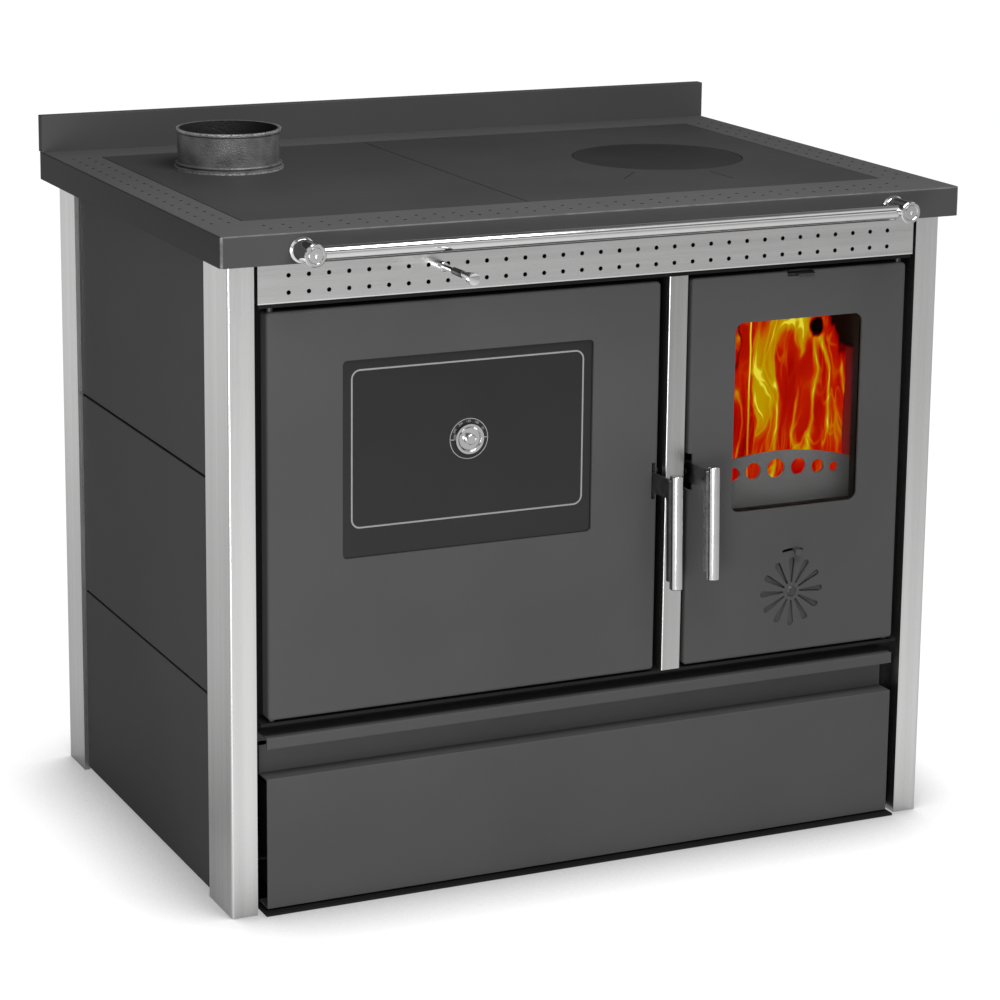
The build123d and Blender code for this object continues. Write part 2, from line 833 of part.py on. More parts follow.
# ================================================================ oven and firebox
# Oven box: a sheet tray that passes through the front frame, with a sealing flange before it and a runner
# welded to each side wall for the rack.
with BuildPart() as oven_box:
    with BuildSketch(facing(seal_y + oven_depth)):
        area(oven_left, oven_right, oven_bottom, oven_top)
    extrude(amount=oven_depth)
    with BuildSketch(facing(seal_y + sheet)):
        area(
            oven_left - oven_flange,
            oven_right + oven_flange,
            oven_bottom - oven_flange,
            oven_top + oven_flange,
        )
    extrude(amount=sheet)
    with BuildSketch(facing(seal_y + oven_depth - sheet)):
        area(oven_left + sheet, oven_right - sheet, oven_bottom + sheet, oven_top - sheet)
    extrude(amount=oven_depth, mode=Mode.SUBTRACT)
    with BuildSketch(facing(seal_y + oven_depth - sheet)):
        area(oven_left + sheet, oven_left + sheet + runner_ledge, rack_height - sheet, rack_height)
        area(oven_right - sheet - runner_ledge, oven_right - sheet, rack_height - sheet, rack_height)
    extrude(amount=oven_depth - sheet - runner_setback)
oven_box.part.label = "oven_box"
export_step(oven_box.part, "parts/oven_box.step")

# Oven rack: a wire frame with bars from front to back.
with BuildPart() as oven_rack:
    rack_left = oven_left + sheet + rack_side_gap
    rack_right = oven_right - sheet - rack_side_gap
    rack_front = seal_y + rack_end_gap
    rack_rear = seal_y + oven_depth - rack_end_gap
    rack_z = rack_height + seat_gap
    with BuildSketch(Plane.XY.offset(rack_z)):
        area(rack_left, rack_right, rack_front, rack_rear)
        area(
            rack_left + rack_wire, rack_right - rack_wire, rack_front + rack_wire, rack_rear - rack_wire,
            Mode.SUBTRACT,
        )
        with Locations(((rack_left + rack_right) / 2, (rack_front + rack_rear) / 2)):
            with GridLocations((rack_right - rack_left) / (rack_bars + 1), 1, rack_bars, 1):
                Rectangle(rack_bar, rack_rear - rack_front)
    extrude(amount=rack_wire)
oven_rack.part.label = "oven_rack"
export_step(oven_rack.part, "parts/oven_rack.step")

# Smoke shelf above the oven, with a port at the flue and two guides for the damper slide.
port_width, port_depth = shelf_port
slide_width = port_width + 2 * slide_lap
slide_length = port_depth + 2 * slide_lap
with BuildPart() as smoke_shelf:
    with BuildSketch(Plane.XY.offset(smoke_shelf_height)):
        area(-wall_inner, fire_left, frame_back, back_panel_front)
        with Locations((damper_x, flue_y - damper_travel / 2)):
            Rectangle(port_width, port_depth, mode=Mode.SUBTRACT)
    extrude(amount=sheet)
    guide_x = slide_width / 2 + guide_gap
    with BuildSketch(Plane.XY.offset(smoke_shelf_height + sheet)):
        for side in (-1, 1):
            with Locations((damper_x + side * (guide_x + sheet / 2), flue_y)):
                Rectangle(sheet, slide_length + damper_travel + guide_spare)
    extrude(amount=guide_height)
smoke_shelf.part.label = "smoke_shelf"
export_step(smoke_shelf.part, "parts/smoke_shelf.step")

# Firebox shell: three walls up to the hob, a collar through the front frame and a welded shelf that carries
# the bricks, the grate and the log guard.
fire_back = frame_back + fire_depth
fire_inner_left = fire_left + sheet
fire_inner_right = fire_right - sheet
brick_front = frame_back + brick_setback
brick_rear = fire_back - sheet
brick_bottom = grate_height - grate_thickness + sheet
with BuildPart() as firebox_shell:
    with BuildSketch(Plane.XY.offset(floor_height + sheet)):
        area(fire_left, fire_right, frame_back, fire_back)
        area(fire_left + sheet, fire_right - sheet, frame_back, fire_back - sheet, Mode.SUBTRACT)
    extrude(amount=support_bottom - floor_height - sheet)
    with BuildSketch(facing(frame_back)):
        area(fire_left + sheet, fire_right - sheet, fire_opening_bottom, fire_opening_top)
        area(
            fire_left + 2 * sheet,
            fire_right - 2 * sheet,
            fire_opening_bottom + sheet,
            fire_opening_top - sheet,
            Mode.SUBTRACT,
        )
    extrude(amount=frame_back - seal_y)
    with BuildSketch(facing(frame_back + sheet)):
        area(fire_left + sheet, fire_right - sheet, fire_opening_top - sheet, fire_opening_top)
        area(fire_left + sheet, fire_left + 2 * sheet, fire_opening_bottom, fire_opening_top)
        area(fire_right - 2 * sheet, fire_right - sheet, fire_opening_bottom, fire_opening_top)
        area(fire_left + sheet, fire_right - sheet, fire_opening_bottom, fire_opening_bottom + sheet)
    extrude(amount=sheet)
    with BuildSketch(Plane.XY.offset(grate_height - grate_thickness)):
        area(fire_inner_left, fire_inner_right, frame_back + sheet, brick_rear)
        area(
            fire_inner_left + brick_thickness + brick_ledge,
            fire_inner_right - brick_thickness - brick_ledge,
            brick_front + brick_ledge_end,
            brick_rear - brick_thickness - brick_ledge_end,
            Mode.SUBTRACT,
        )
    extrude(amount=sheet)
firebox_shell.part.label = "firebox_shell"
export_step(firebox_shell.part, "parts/firebox_shell.step")

# Fire bricks: one slab on each side and one behind.
with BuildPart() as fire_bricks:
    with BuildSketch(Plane.XY.offset(brick_bottom)):
        area(fire_inner_left, fire_inner_left + brick_thickness, brick_front, brick_rear)
        area(fire_inner_right - brick_thickness, fire_inner_right, brick_front, brick_rear)
        area(
            fire_inner_left + brick_thickness + seat_gap,
            fire_inner_right - brick_thickness - seat_gap,
            brick_rear - brick_thickness,
            brick_rear,
        )
    extrude(amount=brick_height)
fire_bricks.part.label = "fire_bricks"
export_step(fire_bricks.part, "parts/fire_bricks.step")

# Grate: a cast frame with long slots.
with BuildPart() as grate:
    grate_left = fire_inner_left + brick_thickness + grate_gap
    grate_right = fire_inner_right - brick_thickness - grate_gap
    grate_front = brick_front + grate_end_gap
    grate_rear = brick_rear - brick_thickness - grate_end_gap
    slot_pitch = (grate_right - grate_left - 2 * grate_rim) / grate_slots
    with BuildSketch(Plane.XY.offset(brick_bottom)):
        area(grate_left, grate_right, grate_front, grate_rear)
        with Locations(((grate_left + grate_right) / 2, (grate_front + grate_rear) / 2)):
            with GridLocations(slot_pitch, 1, grate_slots, 1):
                Rectangle(grate_slot_width, grate_rear - grate_front - 2 * grate_slot_end, mode=Mode.SUBTRACT)
    extrude(amount=grate_thickness - sheet)
grate.part.label = "grate"
export_step(grate.part, "parts/grate.step")

# Log guard: a plate with an arched top and a row of holes that shrink towards its ends.
with BuildPart() as log_guard:
    guard_y = face_y + guard_setback
    guard_left = fire_inner_left + guard_side_gap
    guard_right = fire_inner_right - guard_side_gap
    guard_top = brick_bottom + guard_edge_height
    with BuildSketch(facing(guard_y)):
        with BuildLine():
            Polyline(
                (guard_left, guard_top),
                (guard_left, brick_bottom),
                (guard_right, brick_bottom),
                (guard_right, guard_top),
            )
            crown = (fire_window_x, guard_top + guard_rise)
            ThreePointArc((guard_right, guard_top), crown, (guard_left, guard_top))
        make_face()
        for step in range(-guard_holes_each_side, guard_holes_each_side + 1):
            away = abs(step)
            hole_radius = guard_hole_radius - 1.45 * away - 0.25 * away**2
            hole_x = fire_window_x + step * (guard_hole_pitch - 2.3 * away)
            hole_z = brick_bottom + guard_hole_height - 0.67 * away**2
            with Locations((hole_x, hole_z)):
                Circle(hole_radius, mode=Mode.SUBTRACT)
    extrude(amount=guard_sheet)
log_guard.part.label = "log_guard"
export_step(log_guard.part, "parts/log_guard.step")

# Ash pan: an open tray on the compartment floor, with a turned-out handle lip.
with BuildPart() as ash_pan:
    pan_left = fire_inner_left + ash_pan_margin
    pan_right = fire_inner_right - ash_pan_margin
    pan_front = frame_back + ash_pan_setback
    pan_rear = fire_back - ash_pan_margin - sheet
    pan_base = floor_height + sheet
    with BuildSketch(Plane.XY.offset(pan_base)):
        area(pan_left, pan_right, pan_front, pan_rear)
    extrude(amount=ash_pan_height)
    with BuildSketch(Plane.XY.offset(pan_base + panel_sheet)):
        area(
            pan_left + panel_sheet, pan_right - panel_sheet, pan_front + panel_sheet, pan_rear - panel_sheet
        )
    extrude(amount=ash_pan_height, mode=Mode.SUBTRACT)
    with BuildSketch(Plane.XY.offset(pan_base + ash_pan_height - panel_sheet)):
        area(
            fire_window_x - ash_lip_width / 2,
            fire_window_x + ash_lip_width / 2,
            pan_front - ash_lip_reach,
            pan_front,
        )
    extrude(amount=panel_sheet)
ash_pan.part.label = "ash_pan"
export_step(ash_pan.part, "parts/ash_pan.step")


# ================================================================ doors
def door_pan(left, right, window, window_radius):
    """Painted door pan: a face with rounded edges and a rim folded back, pierced by the window."""
    with BuildPart(mode=Mode.PRIVATE) as pan:
        with BuildSketch(facing(door_back)):
            rounded_area(left, right, door_bottom, door_top, door_corner_radius)
        extrude(amount=door_depth)
        fillet(pan.faces().sort_by(Axis.Y)[0].edges(), door_edge_radius)
        with BuildSketch(facing(door_back)):
            rounded_area(
                left + door_sheet,
                right - door_sheet,
                door_bottom + door_sheet,
                door_top - door_sheet,
                door_corner_radius - door_sheet,
            )
        extrude(amount=door_depth - door_sheet, mode=Mode.SUBTRACT)
        with BuildSketch(facing(door_back)):
            rounded_area(*window, window_radius)
        extrude(amount=door_depth, mode=Mode.SUBTRACT)
    return pan.part


def window_edges(centre_x, width, centre_z, height, margin=0):
    """Edges of a window in the order that area() takes, moved outwards by margin."""
    return (
        centre_x - width / 2 - margin,
        centre_x + width / 2 + margin,
        centre_z - height / 2 - margin,
        centre_z + height / 2 + margin,
    )


def hinge_bores(hinge_x):
    """Holes through the top and bottom rims for the hinge pins."""
    with BuildSketch(Plane.XY.offset(door_bottom)) as bores:
        with Locations((hinge_x, hinge_y)):
            Circle(hinge_pin_diameter / 2 + running_clearance)
    extrude(bores.sketch, amount=door_height, mode=Mode.SUBTRACT)


glass_front = face_y + door_sheet
glass_back = glass_front + glass_thickness

oven_window_width = oven_window_right - oven_window_left
oven_window = window_edges(oven_window_x, oven_window_width, oven_window_centre, oven_window_height)
with BuildPart() as oven_door_panel:
    add(door_pan(oven_door_left, oven_door_right, oven_window, oven_window_radius))
    hinge_bores(oven_hinge_x)
    with BuildSketch(facing(door_back)):
        area(
            oven_latch_x - latch_slot_clearance,
            oven_latch_x + latch_sheet + latch_slot_clearance,
            oven_latch_height - latch_slot_drop,
            oven_latch_height + latch_slot_rise,
        )
    extrude(amount=door_depth, mode=Mode.SUBTRACT)
oven_door_panel.part.label = "oven_door_panel"
export_step(oven_door_panel.part, "parts/oven_door_panel.step")

fire_window = window_edges(fire_window_x, fire_window_width, fire_window_centre, fire_window_height)

# Petal of the air rosette: a tapered slot with a round tip, pointing along local y.
with BuildSketch() as petal:
    with BuildLine():
        root = petal_root_width / 2
        shoulder = petal_outer - petal_tip_radius
        Polyline(
            (-petal_tip_radius, shoulder),
            (-root, petal_inner),
            (root, petal_inner),
            (petal_tip_radius, shoulder),
        )
        ThreePointArc((petal_tip_radius, shoulder), (0, petal_outer), (-petal_tip_radius, shoulder))
    make_face()


def petals(turn):
    """Ring of petals about the rosette's centre, turned clockwise by an angle in degrees."""
    for step in range(petal_count):
        angle = step * 360 / petal_count - turn
        add(Pos(fire_window_x, rosette_height) * (Rot(0, 0, angle) * petal.sketch))


rosette_plate_front = face_y + door_sheet + seat_gap / 2
air_slide_top = door_top - door_sheet - seat_gap
air_slide_front = face_y + door_sheet + air_slide_setback
air_slide_rear = air_slide_front + air_slide_depth
notch_bottom = air_slide_top - air_slide_sheet - seat_gap
notch_width = air_tab_width + air_slide_travel + 2 * air_tab_gap
notch_left = fire_window_x - notch_width / 2
notch_right = fire_window_x + notch_width / 2
air_tab_x = notch_right - air_tab_gap - air_tab_width / 2
with BuildPart() as fire_door_panel:
    add(door_pan(fire_door_left, fire_door_right, fire_window, fire_window_radius))
    hinge_bores(fire_hinge_x)
    with BuildSketch(facing(door_back)):
        area(
            fire_door_left - latch_slot_clearance,
            fire_latch_x + latch_sheet + latch_slot_clearance,
            fire_latch_height - latch_slot_drop,
            fire_latch_height + latch_slot_rise,
        )
    extrude(amount=door_depth, mode=Mode.SUBTRACT)
    with BuildSketch(facing(face_y)):
        petals(0)
        with Locations((fire_window_x, rosette_height)):
            Circle(rivet_radius)
            with BuildLine(mode=Mode.PRIVATE) as slot_line:
                CenterArc((0, 0), rosette_slot_radius, 90 - rosette_slot_angle, 2 * rosette_slot_angle)
            SlotArc(slot_line.edges()[0], rosette_slot_width)
    extrude(amount=-door_sheet, mode=Mode.SUBTRACT)
    with BuildSketch(facing(air_slide_rear)):
        area(notch_left, notch_right, notch_bottom, door_top)
    extrude(amount=air_slide_rear - face_y, mode=Mode.SUBTRACT)
fire_door_panel.part.label = "fire_door_panel"
export_step(fire_door_panel.part, "parts/fire_door_panel.step")


def door_glass(window):
    """Flat pane behind the door's face, larger than the window all round."""
    left, right, bottom, top = window
    with BuildPart(mode=Mode.PRIVATE) as pane:
        with BuildSketch(facing(glass_back)):
            area(left - glass_lap, right + glass_lap, bottom - glass_lap, top + glass_lap)
        extrude(amount=glass_thickness)
    return pane.part


with BuildPart() as oven_glass:
    add(door_glass(oven_window))
    with BuildSketch(facing(glass_front)):
        with Locations((oven_window_x, thermometer_height)):
            Circle(bezel_shank_radius + seat_gap)
    extrude(amount=-glass_thickness, mode=Mode.SUBTRACT)
oven_glass.part.label = "oven_glass"
export_step(oven_glass.part, "parts/oven_glass.step")

with BuildPart() as fire_glass:
    add(door_glass(fire_window))
fire_glass.part.label = "fire_glass"
export_step(fire_glass.part, "parts/fire_glass.step")


def door_liner(left, right, window):
    """Back plate of a door, with a frame that reaches forward and holds the glass."""
    gap = door_sheet + liner_margin
    inner_left, inner_right, inner_bottom, inner_top = window
    with BuildPart(mode=Mode.PRIVATE) as liner:
        with BuildSketch(facing(door_back)):
            area(left + gap, right - gap, door_bottom + gap, door_top - gap)
        extrude(amount=liner_sheet)
        with BuildSketch(facing(door_back)):
            area(
                inner_left - liner_sheet,
                inner_right + liner_sheet,
                inner_bottom - liner_sheet,
                inner_top + liner_sheet,
            )
        extrude(amount=door_back - glass_back)
        with BuildSketch(facing(door_back)):
            area(*window)
        extrude(amount=door_depth, mode=Mode.SUBTRACT)
    return liner.part


def corner_clearance(hinge_x, latch_left, latch_right, latch_z):
    """Cut the liner free of the hinge pins and of the latch."""
    with BuildSketch(facing(door_back)) as cuts:
        with Locations((hinge_x, door_bottom), (hinge_x, door_top)):
            Rectangle(pin_room_width, pin_room_height)
        room_bottom = latch_z - latch_slot_drop - bracket_room
        room_top = latch_z + latch_slot_rise + bracket_room
        area(latch_left, latch_right, room_bottom, room_top)
    extrude(cuts.sketch, amount=door_depth, mode=Mode.SUBTRACT)


oven_ear_x = oven_latch_x - ear_gap
fire_ear_x = fire_latch_x + latch_sheet + ear_gap
with BuildPart() as oven_door_liner:
    add(door_liner(oven_door_left, oven_door_right, oven_window))
    room_left = oven_ear_x - bracket_reach - bracket_margin
    corner_clearance(oven_hinge_x, room_left, oven_door_right, oven_latch_height)
oven_door_liner.part.label = "oven_door_liner"
export_step(oven_door_liner.part, "parts/oven_door_liner.step")

with BuildPart() as fire_door_liner:
    add(door_liner(fire_door_left, fire_door_right, fire_window))
    room_right = fire_ear_x + bracket_reach + bracket_margin
    corner_clearance(fire_hinge_x, fire_door_left, room_right, fire_latch_height)
    with BuildSketch(facing(door_back)):
        with Locations((fire_window_x, rosette_height)):
            Rectangle(2 * rosette_radius + 2 * rosette_room, 2 * rosette_radius + 2 * rosette_room)
    extrude(amount=door_depth, mode=Mode.SUBTRACT)
fire_door_liner.part.label = "fire_door_liner"
export_step(fire_door_liner.part, "parts/fire_door_liner.step")


def door_gasket(left, right, bottom, top):
    """Rope seal on the back of a door, over the rim that it presses on."""
    with BuildPart(mode=Mode.PRIVATE) as rope:
        with BuildSketch(facing(seal_y - seat_gap)):
            rounded_area(left, right, bottom, top, gasket_width + gasket_inner_radius)
            rounded_area(
                left + gasket_width,
                right - gasket_width,
                bottom + gasket_width,
                top - gasket_width,
                gasket_inner_radius,
                mode=Mode.SUBTRACT,
            )
        extrude(amount=seal_y - seat_gap - door_back)
    return rope.part


with BuildPart() as oven_gasket:
    margin = (oven_flange + gasket_width) / 2
    add(door_gasket(oven_left - margin, oven_right + margin, oven_bottom - margin, oven_top + margin))
oven_gasket.part.label = "oven_gasket"
export_step(oven_gasket.part, "parts/oven_gasket.step")

with BuildPart() as fire_gasket:
    add(
        door_gasket(
            fire_left - rim_lap,
            fire_right + rim_lap,
            fire_opening_bottom - rim_lap,
            fire_opening_top + rim_lap,
        )
    )
fire_gasket.part.label = "fire_gasket"
export_step(fire_gasket.part, "parts/fire_gasket.step")

# ================================================================ thermometer in the oven glass
# Bezel: a turned dish on the glass, with a spindle that passes through it and a nut behind.
with BuildPart() as thermometer_bezel:
    dish_floor = bezel_depth - bezel_dish
    with BuildSketch(turning(oven_window_x, glass_front, thermometer_height)):
        with BuildLine():
            Polyline(
                (0, -glass_thickness - bezel_nut_length),
                (bezel_nut_radius, -glass_thickness - bezel_nut_length),
                (bezel_nut_radius, -glass_thickness),
                (bezel_shank_radius, -glass_thickness),
                (bezel_shank_radius, 0),
                (bezel_radius, 0),
                (bezel_radius, bezel_depth),
                (bezel_radius - bezel_rim, bezel_depth),
                (bezel_radius - bezel_rim - bezel_dish, dish_floor),
                (spindle_radius, dish_floor),
                (spindle_radius, bezel_depth + spindle_proud),
                (0, bezel_depth + spindle_proud),
                (0, -glass_thickness - bezel_nut_length),
            )
        make_face()
    revolve(axis=turned(oven_window_x, glass_front, thermometer_height))
thermometer_bezel.part.label = "thermometer_bezel"
export_step(thermometer_bezel.part, "parts/thermometer_bezel.step")

# Pointer: a cap with a short arm that turns on the spindle.
with BuildPart() as thermometer_pointer:
    pointer_back = glass_front - bezel_depth + pointer_sunk
    with BuildSketch(facing(pointer_back)):
        with Locations((oven_window_x, thermometer_height)):
            Circle(pointer_radius)
    extrude(amount=pointer_height)
    chamfer(thermometer_pointer.faces().sort_by(Axis.Y)[0].edges(), 1)
    with BuildSketch(facing(pointer_back)):
        with Locations(Location((oven_window_x, thermometer_height), pointer_angle)):
            with Locations((pointer_arm_length / 2 + 1, 0)):
                Rectangle(pointer_arm_length, pointer_arm_width)
    extrude(amount=pointer_arm_sheet)
    with BuildSketch(facing(pointer_back)):
        with Locations((oven_window_x, thermometer_height)):
            Circle(spindle_radius + running_clearance)
    extrude(amount=pointer_bore, mode=Mode.SUBTRACT)
thermometer_pointer.part.label = "thermometer_pointer"
export_step(thermometer_pointer.part, "parts/thermometer_pointer.step")

# ================================================================ air controls on the fire door
# Air rosette: a disc with the same petals, turned back so that only slits stay open, and its lever tab.
with BuildPart() as air_rosette:
    tab_place = Location((fire_window_x, rosette_height), 90 - rosette_tab_angle)
    with BuildSketch(facing(rosette_plate_front + rosette_sheet)):
        with Locations((fire_window_x, rosette_height)):
            Circle(rosette_radius)
        with Locations(tab_place):
            with Locations((rosette_slot_radius + rosette_tab_sheet - rosette_arm_length / 2, 0)):
                Rectangle(rosette_arm_length, rosette_arm_width)
    extrude(amount=rosette_sheet)
    with BuildSketch(facing(rosette_plate_front + rosette_sheet)):
        petals(petal_offset)
        with Locations((fire_window_x, rosette_height)):
            Circle(rivet_radius + running_clearance)
    extrude(amount=rosette_sheet, mode=Mode.SUBTRACT)
    with BuildSketch(facing(rosette_plate_front)):
        with Locations(tab_place):
            with Locations((rosette_slot_radius, 0)):
                Rectangle(rosette_tab_sheet, rosette_tab_width)
    extrude(amount=rosette_plate_front - face_y + rosette_tab_proud)
    with BuildSketch(facing(face_y - rosette_tab_proud)):
        with Locations(tab_place):
            with Locations((rosette_slot_radius + (rosette_tab_sheet - rosette_tab_cap) / 2, 0)):
                Rectangle(rosette_tab_cap, rosette_tab_width)
    extrude(amount=rosette_tab_sheet)
air_rosette.part.label = "air_rosette"
export_step(air_rosette.part, "parts/air_rosette.step")

# Rosette rivet: the pivot, with a low domed head on the door's face and a washer behind the disc.
with BuildPart() as rosette_rivet:
    riveted_depth = door_sheet + rosette_sheet + seat_gap
    rivet_end = -riveted_depth - rivet_washer
    dome_middle = (rivet_head_radius * 0.76, rivet_head_height * 0.65)
    with BuildSketch(turning(fire_window_x, face_y, rosette_height)):
        with BuildLine():
            ThreePointArc((rivet_head_radius, 0), dome_middle, (rivet_head_flat, rivet_head_height))
            Polyline(
                (rivet_head_flat, rivet_head_height),
                (0, rivet_head_height),
                (0, rivet_end),
                (rivet_washer_radius, rivet_end),
                (rivet_washer_radius, -riveted_depth),
                (rivet_radius, -riveted_depth),
                (rivet_radius, 0),
                (rivet_head_radius, 0),
            )
        make_face()
    revolve(axis=turned(fire_window_x, face_y, rosette_height))
rosette_rivet.part.label = "rosette_rivet"
export_step(rosette_rivet.part, "parts/rosette_rivet.step")

# Top air slide: a strip under the door's top rim, with a finger tab that comes out through the notch.
with BuildPart() as top_air_slide:
    with BuildSketch(Plane.XY.offset(air_slide_top - air_slide_sheet)):
        half_slide = air_slide_length / 2
        half_tab = air_tab_width / 2
        area(air_tab_x - half_slide, air_tab_x + half_slide, air_slide_front, air_slide_rear)
        area(air_tab_x - half_tab, air_tab_x + half_tab, face_y - air_tab_proud, air_slide_front)
    extrude(amount=air_slide_sheet)
top_air_slide.part.label = "top_air_slide"
export_step(top_air_slide.part, "parts/top_air_slide.step")


# ================================================================ door latches
def latch_plane(x, height):
    """Local x points back, local y up and local z along X, from the pivot and leaned out with the grip."""
    lean = radians(latch_lean)
    return Plane(origin=(x, latch_y, height), x_dir=(0, cos(lean), -sin(lean)), z_dir=(1, 0, 0))


def latch_lever(x, height, grip_side):
    """Lever plate: tail, hub, arm and leg in one cut, with the pins that carry the grip."""
    with BuildPart(latch_plane(x, height), mode=Mode.PRIVATE) as lever:
        with BuildSketch(latch_plane(x, height)):
            Circle(hub_radius)
            area(0, tail_reach, tail_rise - tail_height, tail_rise)
            area(-arm_reach - leg_width / 2, 0, -arm_height / 2, arm_height / 2)
            area(-arm_reach - leg_width / 2, -arm_reach + leg_width / 2, -leg_length, arm_height / 2)
            with Locations((0, 0)):
                Circle(latch_pin_diameter / 2 + running_clearance, mode=Mode.SUBTRACT)
        extrude(amount=latch_sheet)
        corners = lever.edges().filter_by(Axis.X)
        outer_corner = lever_point(x, height, -arm_reach - leg_width / 2, arm_height / 2)
        inner_corner = lever_point(x, height, -arm_reach + leg_width / 2, -arm_height / 2)
        fillet(corners.sort_by_distance(outer_corner)[0], lever_corner_radius)
        corners = lever.edges().filter_by(Axis.X)
        fillet(corners.sort_by_distance(inner_corner)[0], lever_corner_radius)
        start = latch_sheet if grip_side > 0 else 0
        with BuildSketch(latch_plane(x, height).offset(start)):
            with Locations(*grip_pin_places):
                Circle(grip_pin_diameter / 2)
        extrude(amount=grip_side * grip_diameter)
    return lever.part


def lever_point(x, height, back, up):
    """World point of a local place on the lever, halfway through its plate."""
    return latch_plane(x, height).from_local_coords(Vector(back, up, latch_sheet / 2))


grip_pin_places = [(-arm_reach, -(leg_length + end * grip_pin_pitch) / 2) for end in (-1, 1)]


def grip(x, height, grip_side):
    """Round handle beside the lever's leg, with two cross holes for the lever's pins."""
    plane = latch_plane(x, height)
    offset = grip_side * (grip_diameter / 2 + seat_gap) + (latch_sheet if grip_side > 0 else 0)
    centre_y = grip_above_arm - grip_length / 2
    with BuildPart(plane, mode=Mode.PRIVATE) as bar:
        with Locations((-arm_reach, centre_y, offset)):
            Cylinder(grip_diameter / 2, grip_length, rotation=(90, 0, 0))
        chamfer(bar.edges().filter_by(GeomType.CIRCLE), grip_chamfer)
        with BuildSketch(plane.offset(-grip_diameter)):
            with Locations(*grip_pin_places):
                Circle(grip_pin_diameter / 2)
        extrude(amount=3 * grip_diameter, mode=Mode.SUBTRACT)
    return bar.part


with BuildPart() as oven_latch_lever:
    add(latch_lever(oven_latch_x, oven_latch_height, 1))
oven_latch_lever.part.label = "oven_latch_lever"
export_step(oven_latch_lever.part, "parts/oven_latch_lever.step")

with BuildPart() as oven_grip:
    add(grip(oven_latch_x, oven_latch_height, 1))
oven_grip.part.label = "oven_grip"
export_step(oven_grip.part, "parts/oven_grip.step")

with BuildPart() as fire_latch_lever:
    add(latch_lever(fire_latch_x, fire_latch_height, 1))
fire_latch_lever.part.label = "fire_latch_lever"
export_step(fire_latch_lever.part, "parts/fire_latch_lever.step")

with BuildPart() as fire_grip:
    add(grip(fire_latch_x, fire_latch_height, 1))
fire_grip.part.label = "fire_grip"
export_step(fire_grip.part, "parts/fire_grip.step")


def latch_bracket(ear_x, side, height, pin_end):
    """Angle bracket behind the door's face: an ear beside the lever and the pivot pin that it carries."""
    bottom = height - ear_height / 2
    top = height + ear_height / 2
    with BuildPart(mode=Mode.PRIVATE) as bracket:
        with BuildSketch(facing(glass_front + ear_sheet)):
            xs = sorted((ear_x, ear_x + side * bracket_reach))
            area(*xs, bottom, top)
        extrude(amount=ear_sheet)
        with BuildSketch(facing(door_back)):
            xs = sorted((ear_x, ear_x + side * ear_sheet))
            area(*xs, bottom, top)
        extrude(amount=door_back - glass_front)
        with BuildSketch(Plane.YZ.offset(pin_end)):
            with Locations((latch_y, height)):
                Circle(latch_pin_diameter / 2)
        extrude(amount=ear_x + side * ear_sheet / 2 - pin_end)
    return bracket.part


with BuildPart() as oven_latch_bracket:
    add(latch_bracket(oven_ear_x, -1, oven_latch_height, oven_latch_x + latch_sheet + latch_pin_proud))
oven_latch_bracket.part.label = "oven_latch_bracket"
export_step(oven_latch_bracket.part, "parts/oven_latch_bracket.step")

with BuildPart() as fire_latch_bracket:
    add(latch_bracket(fire_ear_x, 1, fire_latch_height, fire_latch_x - latch_pin_proud))
fire_latch_bracket.part.label = "fire_latch_bracket"
export_step(fire_latch_bracket.part, "parts/fire_latch_bracket.step")

# Latch keepers: one pin from each side of the mullion, above the lever's tail.
with BuildPart() as latch_keepers:
    keeper_y = latch_y + keeper_setback
    keeper_rise = tail_rise + keeper_diameter / 2 + keeper_gap
    with BuildSketch(Plane.YZ.offset(oven_latch_x - keeper_lap)):
        with Locations((keeper_y, oven_latch_height + keeper_rise)):
            Circle(keeper_diameter / 2)
    extrude(amount=mullion_left - oven_latch_x + keeper_lap)
    with BuildSketch(Plane.YZ.offset(mullion_right)):
        with Locations((keeper_y, fire_latch_height + keeper_rise)):
            Circle(keeper_diameter / 2)
    extrude(amount=fire_latch_x + latch_sheet + keeper_lap - mullion_right)
latch_keepers.part.label = "latch_keepers"
export_step(latch_keepers.part, "parts/latch_keepers.step")

# ================================================================ drawer
# Drawer front: one folded sheet, with a flange on top and an upstand behind the finger groove.
with BuildPart() as drawer_front:
    with BuildSketch(Plane.YZ.offset(-drawer_half_width)):
        area(face_y, face_y + drawer_sheet, drawer_bottom, drawer_top)
        area(face_y, face_y + drawer_flange, drawer_top - drawer_sheet, drawer_top)
        area(
            face_y + drawer_flange - drawer_sheet,
            face_y + drawer_flange,
            drawer_top - drawer_sheet,
            drawer_pull_top,
        )
        area(face_y, face_y + drawer_flange, drawer_bottom, drawer_bottom + drawer_sheet)
    extrude(amount=2 * drawer_half_width)
    fillet(drawer_front.edges().filter_by(Axis.X).sort_by_distance((0, face_y, drawer_top))[0], fold_radius)
drawer_front.part.label = "drawer_front"
export_step(drawer_front.part, "parts/drawer_front.step")

# Drawer tray: an open box behind the front, with an out-turned flange on each side.
with BuildPart() as drawer_tray:
    tray_front = face_y + drawer_sheet
    tray_rear = face_y + drawer_flange + tray_depth
    with BuildSketch(Plane.XY.offset(tray_bottom)):
        area(-tray_half_width, tray_half_width, tray_front, tray_rear)
    extrude(amount=tray_top - tray_bottom)
    with BuildSketch(Plane.XY.offset(tray_bottom + drawer_sheet)):
        area(
            -tray_half_width + drawer_sheet,
            tray_half_width - drawer_sheet,
            tray_front + drawer_sheet,
            tray_rear - drawer_sheet,
        )
    extrude(amount=tray_top, mode=Mode.SUBTRACT)
    slide_x = tray_half_width + slide_flange
    with BuildSketch(Plane.XY.offset(slide_height)):
        for side in (-1, 1):
            xs = sorted((side * tray_half_width, side * slide_x))
            area(*xs, face_y + drawer_flange, tray_rear)
    extrude(amount=sheet)
drawer_tray.part.label = "drawer_tray"
